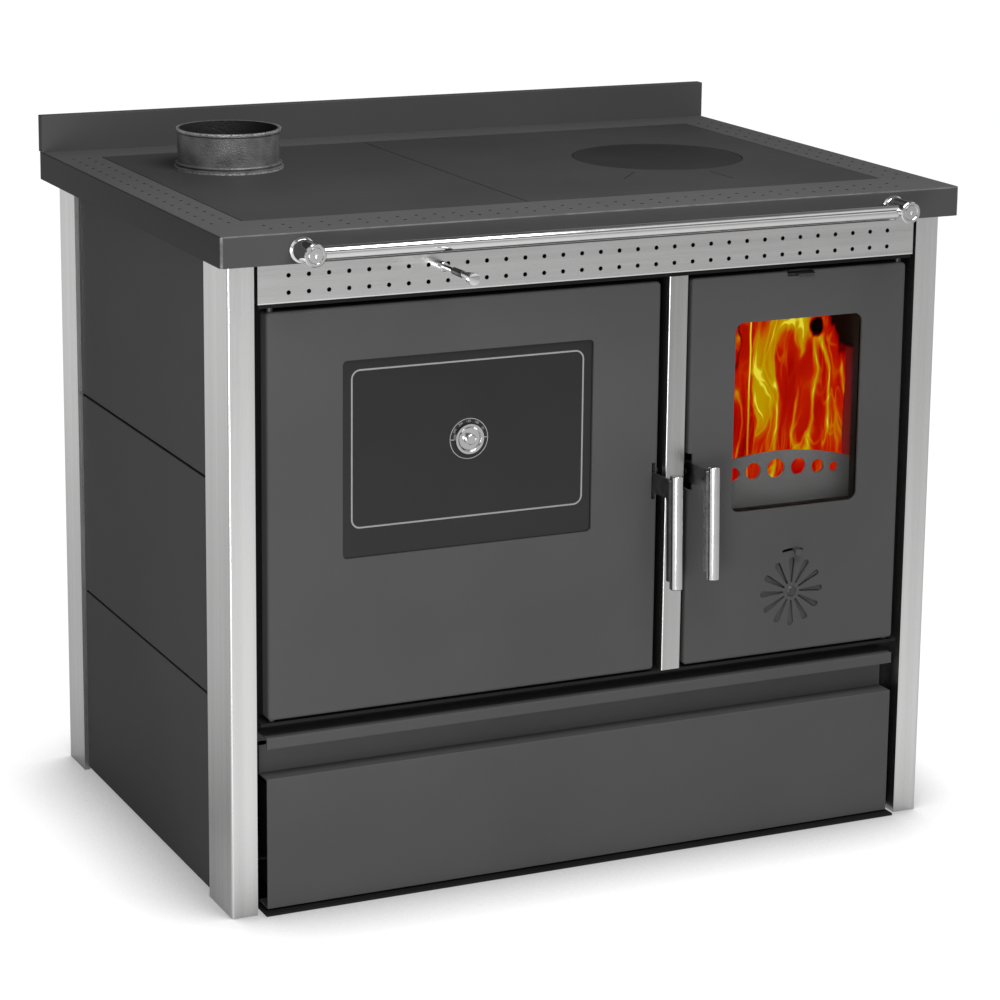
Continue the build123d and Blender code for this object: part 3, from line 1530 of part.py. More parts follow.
export_step(drawer_tray.part, "parts/drawer_tray.step")

# Drawer runners: angles on the side walls, under the tray's flanges.
with BuildPart() as drawer_runners:
    runner_top = slide_height - seat_gap
    with BuildSketch(facing(tray_rear)):
        for side in (-1, 1):
            xs = sorted((side * (tray_half_width + runner_gap), side * wall_inner))
            area(*xs, runner_top - sheet, runner_top)
            xs = sorted((side * (wall_inner - sheet), side * wall_inner))
            area(*xs, runner_top - runner_web, runner_top)
    extrude(amount=tray_rear - frame_back)
drawer_runners.part.label = "drawer_runners"
export_step(drawer_runners.part, "parts/drawer_runners.step")

# ================================================================ flue damper
# Bush: a turned guide on the vent strip.
with BuildPart() as damper_bush:
    bush_radius = damper_bush_diameter / 2
    bore = damper_rod_diameter / 2 + running_clearance
    bush_end = -strip_sheet - bush_shank_length
    with BuildSketch(turning(damper_x, face_y, damper_height)):
        with BuildLine():
            Polyline(
                (bore, bush_end),
                (bore + bush_shank_wall, bush_end),
                (bore + bush_shank_wall, 0),
                (bush_radius, 0),
                (bush_radius, damper_bush_length - bush_lip_length - 2 * bush_neck),
                (bush_radius - bush_neck, damper_bush_length - bush_lip_length - bush_neck),
                (bush_radius, damper_bush_length - bush_lip_length),
                (bush_radius, damper_bush_length - bush_neck),
                (bush_radius - bush_neck, damper_bush_length),
                (bore, damper_bush_length),
                (bore, bush_end),
            )
        make_face()
    revolve(axis=turned(damper_x, face_y, damper_height))
damper_bush.part.label = "damper_bush"
export_step(damper_bush.part, "parts/damper_bush.step")

knob_face_y = face_y - damper_reach
knob_back_y = knob_face_y + damper_knob_length
slide_front = flue_y + damper_travel / 2 - slide_length / 2
# Damper rod: it runs from the knob to the lug of the slide.
with BuildPart() as damper_rod:
    with BuildSketch(facing(slide_front + sheet)):
        with Locations((damper_x, damper_height)):
            Circle(damper_rod_diameter / 2)
    extrude(amount=slide_front + sheet - knob_back_y + knob_bore_depth)
damper_rod.part.label = "damper_rod"
export_step(damper_rod.part, "parts/damper_rod.step")

# Damper slide: a plate with an upturned lug in which the rod is riveted.
with BuildPart() as damper_slide:
    slide_bottom = smoke_shelf_height + sheet + seat_gap
    with BuildSketch(Plane.XY.offset(slide_bottom)):
        with Locations((damper_x, flue_y + damper_travel / 2)):
            Rectangle(slide_width, slide_length)
    extrude(amount=sheet)
    with BuildSketch(facing(slide_front + sheet)):
        area(damper_x - lug_width / 2, damper_x + lug_width / 2, slide_bottom, damper_height + lug_rise)
    extrude(amount=sheet)
    with BuildSketch(facing(slide_front + sheet)):
        with Locations((damper_x, damper_height)):
            Circle(damper_rod_diameter / 2)
    extrude(amount=sheet, mode=Mode.SUBTRACT)
damper_slide.part.label = "damper_slide"
export_step(damper_slide.part, "parts/damper_slide.step")

# Damper sleeve: a black spacer behind the knob.
with BuildPart() as damper_sleeve:
    with BuildSketch(facing(knob_back_y + sleeve_length)):
        with Locations((damper_x, damper_height)):
            Circle(sleeve_diameter / 2)
            Circle(damper_rod_diameter / 2, mode=Mode.SUBTRACT)
    extrude(amount=sleeve_length)
    rear_edges = damper_sleeve.edges().group_by(Axis.Y)[-1].sort_by(SortBy.RADIUS)
    chamfer(rear_edges[-1], sleeve_chamfer)
damper_sleeve.part.label = "damper_sleeve"
export_step(damper_sleeve.part, "parts/damper_sleeve.step")

# Damper knob: a turned cone with a flat face, blind-bored for the rod.
with BuildPart() as damper_knob:
    knob_radius = damper_knob_diameter / 2
    with BuildSketch(turning(damper_x, knob_back_y, damper_height)):
        with BuildLine():
            Polyline(
                (damper_rod_diameter / 2, 0),
                (sleeve_diameter / 2, 0),
                (knob_radius, damper_knob_length - knob_rim_length),
                (knob_radius, damper_knob_length - knob_face_chamfer),
                (knob_radius - knob_face_chamfer, damper_knob_length),
                (0, damper_knob_length),
                (0, knob_bore_depth),
                (damper_rod_diameter / 2, knob_bore_depth),
                (damper_rod_diameter / 2, 0),
            )
        make_face()
    revolve(axis=turned(damper_x, knob_back_y, damper_height))
damper_knob.part.label = "damper_knob"
export_step(damper_knob.part, "parts/damper_knob.step")
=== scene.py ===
from math import cos, pi, radians, sin

import bpy
from mathutils import Matrix, Vector


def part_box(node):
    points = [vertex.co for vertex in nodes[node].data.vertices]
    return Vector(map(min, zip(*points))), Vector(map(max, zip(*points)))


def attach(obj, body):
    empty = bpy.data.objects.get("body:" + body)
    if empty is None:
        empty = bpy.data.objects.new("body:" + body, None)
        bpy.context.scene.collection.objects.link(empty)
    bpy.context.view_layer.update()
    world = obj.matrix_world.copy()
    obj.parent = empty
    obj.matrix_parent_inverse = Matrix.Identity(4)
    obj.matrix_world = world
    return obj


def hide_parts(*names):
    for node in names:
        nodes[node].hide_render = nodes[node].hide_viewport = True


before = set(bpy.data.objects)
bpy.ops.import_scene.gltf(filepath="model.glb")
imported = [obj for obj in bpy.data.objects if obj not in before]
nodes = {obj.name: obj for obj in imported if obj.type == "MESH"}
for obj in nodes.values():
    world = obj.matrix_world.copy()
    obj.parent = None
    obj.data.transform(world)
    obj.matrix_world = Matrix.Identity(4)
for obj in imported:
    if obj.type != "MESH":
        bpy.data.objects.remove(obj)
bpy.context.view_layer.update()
bpy.ops.object.select_all(action="DESELECT")

# ---- Base, carcass and the other hidden sheet metal
# Folded and spot-welded sheet steel, sprayed with a matte black heat-resistant paint. It shows as the dark
# gaps round the doors, as the black strip of the base plate under the drawer and as the whole back of the
# stove.


def add_node(tree, kind, inputs=(), **settings):
    """Adds a shader node. Inputs are given by socket name or number, as values or as sockets to link."""
    made = tree.nodes.new(kind)
    for name, value in settings.items():
        setattr(made, name, value)
    for socket, value in dict(inputs).items():
        if isinstance(value, bpy.types.NodeSocket):
            tree.links.new(value, made.inputs[socket])
        else:
            made.inputs[socket].default_value = value
    return made


def calculate(tree, operation, *values):
    """Math node on the given numbers or sockets; returns its result."""
    return add_node(tree, "ShaderNodeMath", dict(enumerate(values)), operation=operation).outputs[0]


def blend_colours(tree, factor, first, second):
    """Mix of two colours by a factor; returns the colour socket."""
    mix = add_node(tree, "ShaderNodeMix", {"Factor": factor}, data_type="RGBA")
    for socket, value in (("A", first), ("B", second)):
        target = [s for s in mix.inputs if s.name == socket and s.type == "RGBA"][0]
        if isinstance(value, bpy.types.NodeSocket):
            tree.links.new(value, target)
        else:
            target.default_value = value
    return [s for s in mix.outputs if s.type == "RGBA"][0]


def remap(tree, value, low, high, to_low, to_high):
    """Straight-line change of range, held at its ends."""
    inputs = {"Value": value, "From Min": low, "From Max": high, "To Min": to_low, "To Max": to_high}
    return add_node(tree, "ShaderNodeMapRange", inputs).outputs["Result"]


def noise(tree, vector, scale, detail=2.0, rough=0.5):
    """Noise texture on a vector; returns its value."""
    inputs = {"Vector": vector, "Scale": scale, "Detail": detail, "Roughness": rough}
    return add_node(tree, "ShaderNodeTexNoise", inputs).outputs[0]


def ramp(tree, value, stops):
    """Colour ramp with stops given as (position, colour); returns its colour."""
    made = add_node(tree, "ShaderNodeValToRGB", {"Fac": value})
    elements = made.color_ramp.elements
    while len(elements) < len(stops):
        elements.new(0.5)
    for element, (position, colour) in zip(elements, stops):
        element.position = position
        element.color = colour
    return made.outputs["Color"]


def grey(value, warmth=0.0):
    """Neutral colour of a brightness, a little warmer or cooler."""
    return (value + warmth, value, value - warmth, 1.0)


def new_group(name, inputs, outputs):
    """Empty shader group with the sockets given as (name, kind, default)."""
    group = bpy.data.node_groups.new(name, "ShaderNodeTree")
    for label, kind, default in inputs:
        socket = group.interface.new_socket(label, in_out="INPUT", socket_type=kind)
        if default is not None:
            socket.default_value = default
    for label in outputs:
        group.interface.new_socket(label, in_out="OUTPUT", socket_type="NodeSocketFloat")
    return group


def sprayed_paint_group():
    """Sprayed paint: a fine orange-peel height and a broad cloud in the shade."""
    group = new_group(
        "sprayed paint texture",
        [("Vector", "NodeSocketVector", None), ("Grain Scale", "NodeSocketFloat", 700.0)],
        ["Height", "Cloud"],
    )
    start = add_node(group, "NodeGroupInput").outputs
    end = add_node(group, "NodeGroupOutput").inputs
    grain = noise(group, start["Vector"], start["Grain Scale"], detail=3.0, rough=0.6)
    group.links.new(grain, end["Height"])
    cloud = noise(group, start["Vector"], scale=3.5, detail=4.0)
    group.links.new(remap(group, cloud, 0.3, 0.7, 0.0, 1.0), end["Cloud"])
    return group


sprayed_paint = sprayed_paint_group()
grain_height = 0.0006
gloss_spread = 0.05


def new_material(name, **constants):
    """Node material; constants are set on the shader's own sockets, with _ for a space in their names."""
    made = bpy.data.materials.new(name)
    made.use_nodes = True
    shader = made.node_tree.nodes["Principled BSDF"]
    for socket, value in constants.items():
        shader.inputs[socket.replace("_", " ")].default_value = value
    return made, made.node_tree, shader.inputs


def object_place(tree, scale=(1.0, 1.0, 1.0), turn=(0.0, 0.0, 0.0), move=(0.0, 0.0, 0.0)):
    """Object coordinates in metres, moved, turned and stretched by a Mapping node."""
    place = add_node(tree, "ShaderNodeTexCoord").outputs["Object"]
    mapping = {"Vector": place, "Location": move, "Rotation": turn, "Scale": scale}
    return add_node(tree, "ShaderNodeMapping", mapping).outputs["Vector"]


def place_group(tree, group, **inputs):
    """Places a shader group, with _ for a space in its inputs' names; returns its outputs."""
    values = {socket.replace("_", " "): value for socket, value in inputs.items()}
    return add_node(tree, "ShaderNodeGroup", values, node_tree=group).outputs


def height_bump(tree, surface, height, strength, distance):
    """Bump from a height, into the surface's normal."""
    inputs = {"Strength": strength, "Distance": distance, "Height": height}
    tree.links.new(add_node(tree, "ShaderNodeBump", inputs).outputs["Normal"], surface["Normal"])


def painted_sheet(name, dark, light, roughness, bump, specular=0.5, grain_scale=700.0):
    """Sprayed paint on sheet steel, between two shades, with a grain in the gloss."""
    made, tree, surface = new_material(name, Specular_IOR_Level=specular)
    texture = place_group(tree, sprayed_paint, Vector=object_place(tree), Grain_Scale=grain_scale)
    tree.links.new(blend_colours(tree, texture["Cloud"], grey(dark), grey(light)), surface["Base Color"])
    gloss = remap(tree, texture["Height"], 0.3, 0.7, roughness - gloss_spread, roughness + gloss_spread)
    tree.links.new(gloss, surface["Roughness"])
    height_bump(tree, surface, texture["Height"], bump, grain_height)
    return made


def finish(material, *names):
    """Gives the CAD nodes a material."""
    for name in names:
        nodes[name].material_slots[0].material = material


black_paint = painted_sheet(
    "matte black heat-resistant paint", dark=0.008, light=0.013, roughness=0.62, bump=0.25, specular=0.06
)
finish(
    black_paint,
    "base_plate",
    "side_walls",
    "back_panel",
    "front_frame",
    "compartment_floor",
    "hob_support",
    "hinge_rails",
    "smoke_shelf",
    "damper_slide",
    "drawer_tray",
    "ash_pan",
    "oven_door_liner",
    "fire_door_liner",
)

# ---- Corner posts, divider and vent strip
# Stainless sheet folded to channels and brushed along its length before folding, so the grain runs up the
# posts and across the vent strip. The posts hook over the side walls, and the divider is clipped on the
# mullion.


def brushed_group():
    """Brushed streaks: fine ones that cross the vector's short axis, and a few broad ones."""
    group = new_group("brushed streaks", [("Vector", "NodeSocketVector", None)], ["Streaks", "Bands"])
    start = add_node(group, "NodeGroupInput").outputs
    end = add_node(group, "NodeGroupOutput").inputs
    group.links.new(noise(group, start["Vector"], scale=1.0, detail=5.0, rough=0.7), end["Streaks"])
    group.links.new(noise(group, start["Vector"], scale=0.05), end["Bands"])
    return group


brushed_streaks = brushed_group()
fold_highlight_width = 0.0018
fold_highlight_colour = grey(0.88)


def axes_of(tree, vector):
    """The vector's X, Y and Z."""
    return add_node(tree, "ShaderNodeSeparateXYZ", {0: vector}).outputs


def brushed_steel(name, stretch, dark, light, fold=None):
    """Brushed stainless steel whose grain runs along the axis with the smallest stretch. A fold given as
    (axis, place) gets a thin painted highlight along it."""
    made, tree, surface = new_material(name, Metallic=1.0)
    streaks = place_group(tree, brushed_streaks, Vector=object_place(tree, scale=stretch))
    tone = calculate(tree, "ADD", calculate(tree, "MULTIPLY", streaks["Streaks"], 0.6), streaks["Bands"])
    tone = remap(tree, tone, 0.6, 1.0, 0.0, 1.0)
    colour = blend_colours(tree, tone, grey(dark, 0.002), grey(light, 0.002))
    # Painted highlight: a thin bright line along the fold.
    if fold:
        axis, fold_place = fold
        across = axes_of(tree, object_place(tree))[axis]
        away = calculate(tree, "ABSOLUTE", calculate(tree, "SUBTRACT", across, fold_place))
        on_fold_highlight = remap(tree, away, 0.5 * fold_highlight_width, fold_highlight_width, 1.0, 0.0)
        colour = blend_colours(tree, on_fold_highlight, colour, fold_highlight_colour)
    tree.links.new(colour, surface["Base Color"])
    tree.links.new(remap(tree, streaks["Streaks"], 0.3, 0.7, 0.24, 0.36), surface["Roughness"])
    height_bump(tree, surface, streaks["Streaks"], strength=0.12, distance=0.0002)
    return made


upright_grain = (1500.0, 1500.0, 12.0)
level_grain = (12.0, 1500.0, 1500.0)
divider_edge = ("X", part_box("divider")[0].x)
strip_edge = ("Z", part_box("vent_strip")[0].z)
# The divider and the vent strip take darker copies of the posts' stainless: painted shade.
post_steel = brushed_steel("brushed stainless posts", upright_grain, dark=0.58, light=0.65)
finish(post_steel, "front_posts", "rear_posts")
divider_steel_painted_darker = brushed_steel(
    "brushed stainless divider with painted shade", upright_grain, dark=0.38, light=0.45, fold=divider_edge
)
finish(divider_steel_painted_darker, "divider")
strip_steel_painted_darker = brushed_steel("brushed stainless strip with painted shade", level_grain, dark=0.50, light=0.60, fold=strip_edge)
finish(strip_steel_painted_darker, "vent_strip")

# ---- Side panels, sill lip, upstand and log guard
# Pressed and folded steel, stove-enamelled in a satin dark grey with a fine grain. The panels hang on the
# side walls in three rows; the lip and the upstand are folded strips screwed on from inside.
grey_enamel = painted_sheet(
    "satin dark grey enamel", dark=0.055, light=0.064, roughness=0.55, bump=0.12, specular=0.05
)
finish(grey_enamel, "side_panels_left", "side_panels_right", "sill_lip", "upstand")
# The log guard takes a lighter copy of the same grey enamel: painted light on it.
guard_enamel_painted_lighter = painted_sheet(
    "grey guard enamel with painted light", dark=0.090, light=0.105, roughness=0.55, bump=0.12, specular=0.05
)
finish(guard_enamel_painted_lighter, "log_guard")

# ---- Worktop with its punched border
# One enamelled sheet folded down on all sides to a skirt. Its top is a lighter shade of the grey enamel as
# painted light, its skirt carries a painted shade, and its front edge and front corners painted highlights.
# Two rows of small vent holes are punched beside the hob on the left, right and front, right through the
# sheet; their walls take the black paint as a painted shade.
punch_diameter = 0.0046
punch_depth = 0.012
punch_sides = 12
merge_distance = 0.00001
smooth_angle = radians(30)
edge_highlight_width = 0.0022
corner_highlight_width = 0.0042
skirt_fold = 0.002
skirt_painted_shade = grey(0.032)
side_row_outer = 0.488
side_row_gap = 0.022
side_pitch = 0.0285
side_first = -0.269
side_count = 20
front_row_outer = -0.327
front_row_gap = 0.024
front_pitch = 0.0248
front_count = 36


def worktop_enamel():
    """Grey enamel in a lighter shade, with painted shade on the skirt and painted highlights on the front
    edges.
    """
    low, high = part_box("worktop")
    made, tree, surface = new_material("worktop enamel with painted light and shade", Specular_IOR_Level=0.10)
    place = object_place(tree)
    texture = place_group(tree, sprayed_paint, Vector=place, Grain_Scale=700.0)
    axes = axes_of(tree, place)
    forward = calculate(tree, "MULTIPLY", axes["Y"], -1.0)
    across = calculate(tree, "ABSOLUTE", axes["X"])
    # Painted highlights: thin light lines down the front corners and along the front top edge, broken by
    # noise.
    corner_reach = high.x - low.y
    corner = calculate(tree, "ADD", across, forward)
    corner = remap(tree, corner, corner_reach - corner_highlight_width, corner_reach - 0.9 * corner_highlight_width, 0.0, 1.0)
    edge_reach = high.z - low.y
    front_edge = calculate(tree, "ADD", forward, axes["Z"])
    front_edge = remap(tree, front_edge, edge_reach - edge_highlight_width, edge_reach, 0.0, 0.6)
    edge = calculate(tree, "MAXIMUM", corner, front_edge)
    highlight_breakup = remap(tree, noise(tree, place, scale=40.0, detail=4.0), 0.3, 0.6, 0.35, 1.0)
    painted_highlight = calculate(tree, "MULTIPLY", edge, highlight_breakup)
    # A lighter shade than the other grey enamel, with a painted shade on the side and front skirts.
    shade = blend_colours(tree, texture["Cloud"], grey(0.070), grey(0.080))
    side_skirt = remap(tree, across, high.x - skirt_fold, high.x - 0.5 * skirt_fold, 0.0, 1.0)
    front_skirt = remap(tree, forward, -low.y - skirt_fold, -low.y - 0.5 * skirt_fold, 0.0, 0.6)
    skirt = calculate(tree, "MAXIMUM", side_skirt, front_skirt)
    shade = blend_colours(tree, skirt, shade, skirt_painted_shade)
    tree.links.new(blend_colours(tree, painted_highlight, shade, grey(0.26)), surface["Base Color"])
    tree.links.new(remap(tree, texture["Height"], 0.3, 0.7, 0.50, 0.60), surface["Roughness"])
    height_bump(tree, surface, texture["Height"], strength=0.12, distance=grain_height)
    return made


def punches(name, place, rows):
    """Round punches: one prism, repeated along each row given as (count, step)."""
    bpy.ops.object.select_all(action="DESELECT")
    bpy.ops.mesh.primitive_cylinder_add(
        vertices=punch_sides, radius=punch_diameter / 2, depth=punch_depth, location=place
    )
    bpy.ops.object.transform_apply(location=True, rotation=True, scale=True)
    tool = bpy.context.object
    tool.name = name
    for number, (count, step) in enumerate(rows):
        repeat = tool.modifiers.new(f"row {number}", "ARRAY")
        repeat.count = count
        repeat.use_relative_offset = False
        repeat.use_constant_offset = True
        repeat.constant_offset_displace = step
        bpy.ops.object.modifier_apply(modifier=repeat.name)
    # The punches' walls take the black paint: a painted shade inside the holes.
    for material in (top_enamel, black_paint):
        tool.data.materials.append(material)
    for wall in tool.data.polygons:
        wall.material_index = 1
    return tool


top_enamel = worktop_enamel()
sheet_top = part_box("worktop")[1].z
side_rows = [
    (side_count, (0, side_pitch, 0)),
    (2, (side_row_gap, 0, 0)),
    (2, (2 * side_row_outer - side_row_gap, 0, 0)),
]
side_tool = punches("side_punches", (-side_row_outer, side_first, sheet_top), side_rows)
front_rows = [(front_count, (front_pitch, 0, 0)), (2, (0, front_row_gap, 0))]
front_start = -(front_count - 1) / 2 * front_pitch
front_tool = punches("front_punches", (front_start, front_row_outer, sheet_top), front_rows)

punched = bpy.data.objects.new("punched_worktop", nodes["worktop"].data.copy())
punched.data.materials.clear()
for material in (top_enamel, black_paint):
    punched.data.materials.append(material)
bpy.context.scene.collection.objects.link(punched)
bpy.ops.object.select_all(action="DESELECT")
punched.select_set(True)
bpy.context.view_layer.objects.active = punched
bpy.ops.object.mode_set(mode="EDIT")
bpy.ops.mesh.select_all(action="SELECT")
bpy.ops.mesh.remove_doubles(threshold=merge_distance)
bpy.ops.object.mode_set(mode="OBJECT")
for tool in (side_tool, front_tool):
    punch = punched.modifiers.new("punch", "BOOLEAN")
    punch.operation = "DIFFERENCE"
    punch.solver = "EXACT"
    punch.object = tool
    bpy.ops.object.modifier_apply(modifier="punch")
    bpy.data.objects.remove(tool)
bpy.ops.object.shade_smooth_by_angle(angle=smooth_angle)
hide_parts("worktop")
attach(punched, "stove")

# ---- Hob plates and lid
# Steel plates ground flat and blackened, laid loose in the worktop's opening. The lid is turned to a step
# and drops in the right plate; fine turning marks show on it.
hob_black, tree, surface = new_material("ground blackened hob plate", Specular_IOR_Level=0.08)
texture = place_group(tree, sprayed_paint, Vector=object_place(tree), Grain_Scale=900.0)
grinding = place_group(tree, brushed_streaks, Vector=object_place(tree, scale=(10.0, 900.0, 900.0)))
tree.links.new(blend_colours(tree, texture["Cloud"], grey(0.036), grey(0.046)), surface["Base Color"])
tree.links.new(remap(tree, grinding["Streaks"], 0.3, 0.7, 0.46, 0.58), surface["Roughness"])
height_bump(tree, surface, grinding["Streaks"], strength=0.1, distance=0.0003)
finish(hob_black, "hob_plate_left", "hob_plate_right")

lid_low, lid_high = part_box("hob_lid")
lid_black, tree, surface = new_material("turned hob lid", Specular_IOR_Level=0.05)
lid_middle = (lid_low + lid_high) / 2
centred = object_place(tree, move=(-lid_middle.x, -lid_middle.y, 0.0))
turning = {"Vector": centred, "Scale": 160.0, "Distortion": 0.4, "Detail": 2.0, "Detail Scale": 1.0}
rings = add_node(tree, "ShaderNodeTexWave", turning, wave_type="RINGS", rings_direction="Z").outputs["Fac"]
shade = remap(tree, noise(tree, centred, scale=6.0, detail=4.0), 0.3, 0.7, 0.0, 1.0)
tree.links.new(blend_colours(tree, shade, grey(0.018), grey(0.025)), surface["Base Color"])
tree.links.new(remap(tree, rings, 0.0, 1.0, 0.40, 0.50), surface["Roughness"])
height_bump(tree, surface, rings, strength=0.08, distance=0.0003)
finish(lid_black, "hob_lid")

# ---- Flue collar and grate
# Sand-cast iron, left with its fine skin and blacked with stove polish. The collar's rim and foot carry
# thin painted highlights, broken by the skin, and its bore is darker.
collar_low, collar_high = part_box("flue_collar")
collar_middle = (collar_low + collar_high) / 2
collar_lip = 0.0696
collar_bore = 0.065
hob_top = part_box("hob_plate_left")[1].z


def calculate_vector(tree, operation, *values):
    """Vector math node on the given vectors or sockets; returns its outputs."""
    return add_node(tree, "ShaderNodeVectorMath", dict(enumerate(values)), operation=operation).outputs


cast_iron, tree, surface = new_material("blacked cast iron", Specular_IOR_Level=0.5)
place = object_place(tree)
skin = noise(tree, place, scale=330.0, detail=6.0, rough=0.7)
patches = noise(tree, place, scale=45.0, detail=4.0)
pitting = {"Vector": place, "Scale": 420.0}
pits = add_node(tree, "ShaderNodeTexVoronoi", pitting, feature="F1").outputs["Distance"]
shade = blend_colours(tree, remap(tree, patches, 0.35, 0.7, 0.0, 1.0), grey(0.12), grey(0.21, 0.001))
up = axes_of(tree, place)["Z"]
flat_place = object_place(tree, scale=(1.0, 1.0, 0.0), move=(-collar_middle.x, -collar_middle.y, 0.0))
from_axis = calculate_vector(tree, "LENGTH", flat_place)["Value"]
# The bore is darker.
inside = remap(tree, from_axis, collar_bore + 0.0005, collar_bore + 0.0010, 1.0, 0.0)
shade = blend_colours(tree, inside, shade, grey(0.03))
# Painted highlights: a thin bright line on the rim's outer top edge and a band round the foot.
rim = calculate(
    tree,
    "MULTIPLY",
    remap(tree, up, collar_high.z - 0.0030, collar_high.z - 0.0015, 0.0, 1.0),
    remap(tree, from_axis, collar_lip - 0.0014, collar_lip - 0.0008, 0.0, 1.0),
)
foot = remap(tree, up, hob_top + 0.0008, hob_top + 0.0030, 1.0, 0.0)
foot = calculate(tree, "MULTIPLY", foot, calculate(tree, "SUBTRACT", 1.0, inside))
highlight_edges = calculate(tree, "MAXIMUM", rim, foot)
painted_highlight = calculate(tree, "MULTIPLY", highlight_edges, remap(tree, skin, 0.42, 0.58, 0.1, 1.0))
tree.links.new(blend_colours(tree, painted_highlight, shade, grey(0.62)), surface["Base Color"])
tree.links.new(remap(tree, painted_highlight, 0.0, 1.0, 0.6, 0.7), surface["Metallic"])
tree.links.new(remap(tree, skin, 0.3, 0.7, 0.28, 0.5), surface["Roughness"])
rough_skin = calculate(tree, "ADD", skin, calculate(tree, "MULTIPLY", pits, 0.5))
height_bump(tree, surface, rough_skin, strength=0.5, distance=0.0010)
finish(cast_iron, "flue_collar", "grate")

# ---- Towel rail and its stand-offs
# Drawn steel tube and turned stand-offs, polished and chromed. The stand-offs are screwed through the
# worktop's skirt from inside, and the rail is held between them.


def chromed(name, roughness, tint):
    """Polished chrome with a trace of polishing haze."""
    made, tree, surface = new_material(name, Metallic=1.0)
    haze = noise(tree, object_place(tree), scale=60.0, detail=5.0)
    tree.links.new(blend_colours(tree, haze, grey(tint - 0.06), grey(tint + 0.02)), surface["Base Color"])
    tree.links.new(remap(tree, haze, 0.3, 0.7, roughness, roughness + 0.05), surface["Roughness"])
    return made


chrome = chromed("polished chrome", roughness=0.08, tint=0.62)
finish(chrome, "towel_rail", "rail_knobs")

# ---- Oven box and rack
# The oven is a welded sheet box with a smooth black enamel that wipes clean. Its rack is bright wire,
# welded at each crossing, and slides on runners in the box.
oven_enamel = painted_sheet(
    "black oven enamel", dark=0.008, light=0.014, roughness=0.30, bump=0.1, grain_scale=300.0
)
finish(oven_enamel, "oven_box")
rack_wire = chromed("bright rack wire", roughness=0.22, tint=0.62)
finish(rack_wire, "oven_rack")

# ---- Firebox and its bricks
# A steel shell lined with pressed fire bricks, blackened by soot. Near the window the side bricks carry a
# painted dull red glow, which stands for the fire's light on them.
brick_low, brick_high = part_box("fire_bricks")
soot_end = -0.20
fire_brick, tree, surface = new_material("sooted fire brick", Roughness=0.9, Emission_Strength=1.0)
place = object_place(tree)
axes = axes_of(tree, place)
clay = noise(tree, place, scale=90.0, detail=6.0, rough=0.75)
clay_shade = blend_colours(tree, clay, (0.30, 0.21, 0.14, 1), (0.50, 0.40, 0.29, 1))
soot = remap(tree, noise(tree, place, scale=9.0, detail=5.0), 0.30, 0.55, 0.6, 1.0)
front_soot = remap(tree, axes["Y"], brick_low.y, soot_end, 1.0, 0.0)
soot = calculate(tree, "MAXIMUM", soot, front_soot)
tree.links.new(blend_colours(tree, soot, clay_shade, grey(0.004)), surface["Base Color"])
# Painted light: a dull red glow on the bricks near the window, up to a ragged height.
flicker = noise(tree, object_place(tree, scale=(20.0, 20.0, 5.0)), scale=1.0, detail=3.0)
near = remap(tree, axes["Y"], brick_low.y + 0.012, brick_low.y + 0.10, 1.0, 0.0)
ragged_top = calculate(tree, "ADD", axes["Z"], calculate(tree, "MULTIPLY", flicker, 0.08))
low = remap(tree, ragged_top, 0.66, 0.72, 1.0, 0.0)
inner = remap(tree, axes["X"], brick_high.x - 0.016, brick_high.x - 0.004, 1.0, 0.0)
glow = calculate(tree, "MULTIPLY", calculate(tree, "MULTIPLY", near, low), inner)
glow = calculate(tree, "MULTIPLY", glow, remap(tree, flicker, 0.3, 0.6, 0.5, 1.0))
tree.links.new(blend_colours(tree, glow, grey(0.0), (0.17, 0.0, 0.0, 1)), surface["Emission Color"])
height_bump(tree, surface, clay, strength=0.6, distance=0.002)
finish(fire_brick, "fire_bricks")

sooted_steel = painted_sheet(
    "sooted firebox steel",
    dark=0.005,
    light=0.014,
    roughness=0.8,
    bump=0.4,
    specular=0.2,
    grain_scale=200.0,
)
finish(sooted_steel, "firebox_shell")

# ---- Flames
# Flames rise from the logs behind the guard and fill the window, with a dark gap at the upper right. They
# are thin wavy sheets that glow, one just behind the guard and two deeper in, with a bright upright seam.
bright_seam = 0.251
seam_width = 0.0024
swirls = (((9.0, 1.0, 6.0), (0.075, 0.0, 0.04)), ((28.0, 1.0, 17.0), (0.024, 0.0, 0.02)))
fire_colours = (
    (0.0, (0.0, 0.0, 0.0, 1)),
    (0.10, (0.10, 0.0, 0.0, 1)),
    (0.22, (0.33, 0.001, 0.0, 1)),
    (0.42, (0.44, 0.008, 0.0, 1)),
    (0.56, (0.50, 0.060, 0.0, 1)),
    (0.72, (0.48, 0.200, 0.0, 1)),
    (0.90, (0.47, 0.320, 0.0, 1)),
    (1.0, (0.78, 0.660, 0.04, 1)),
)


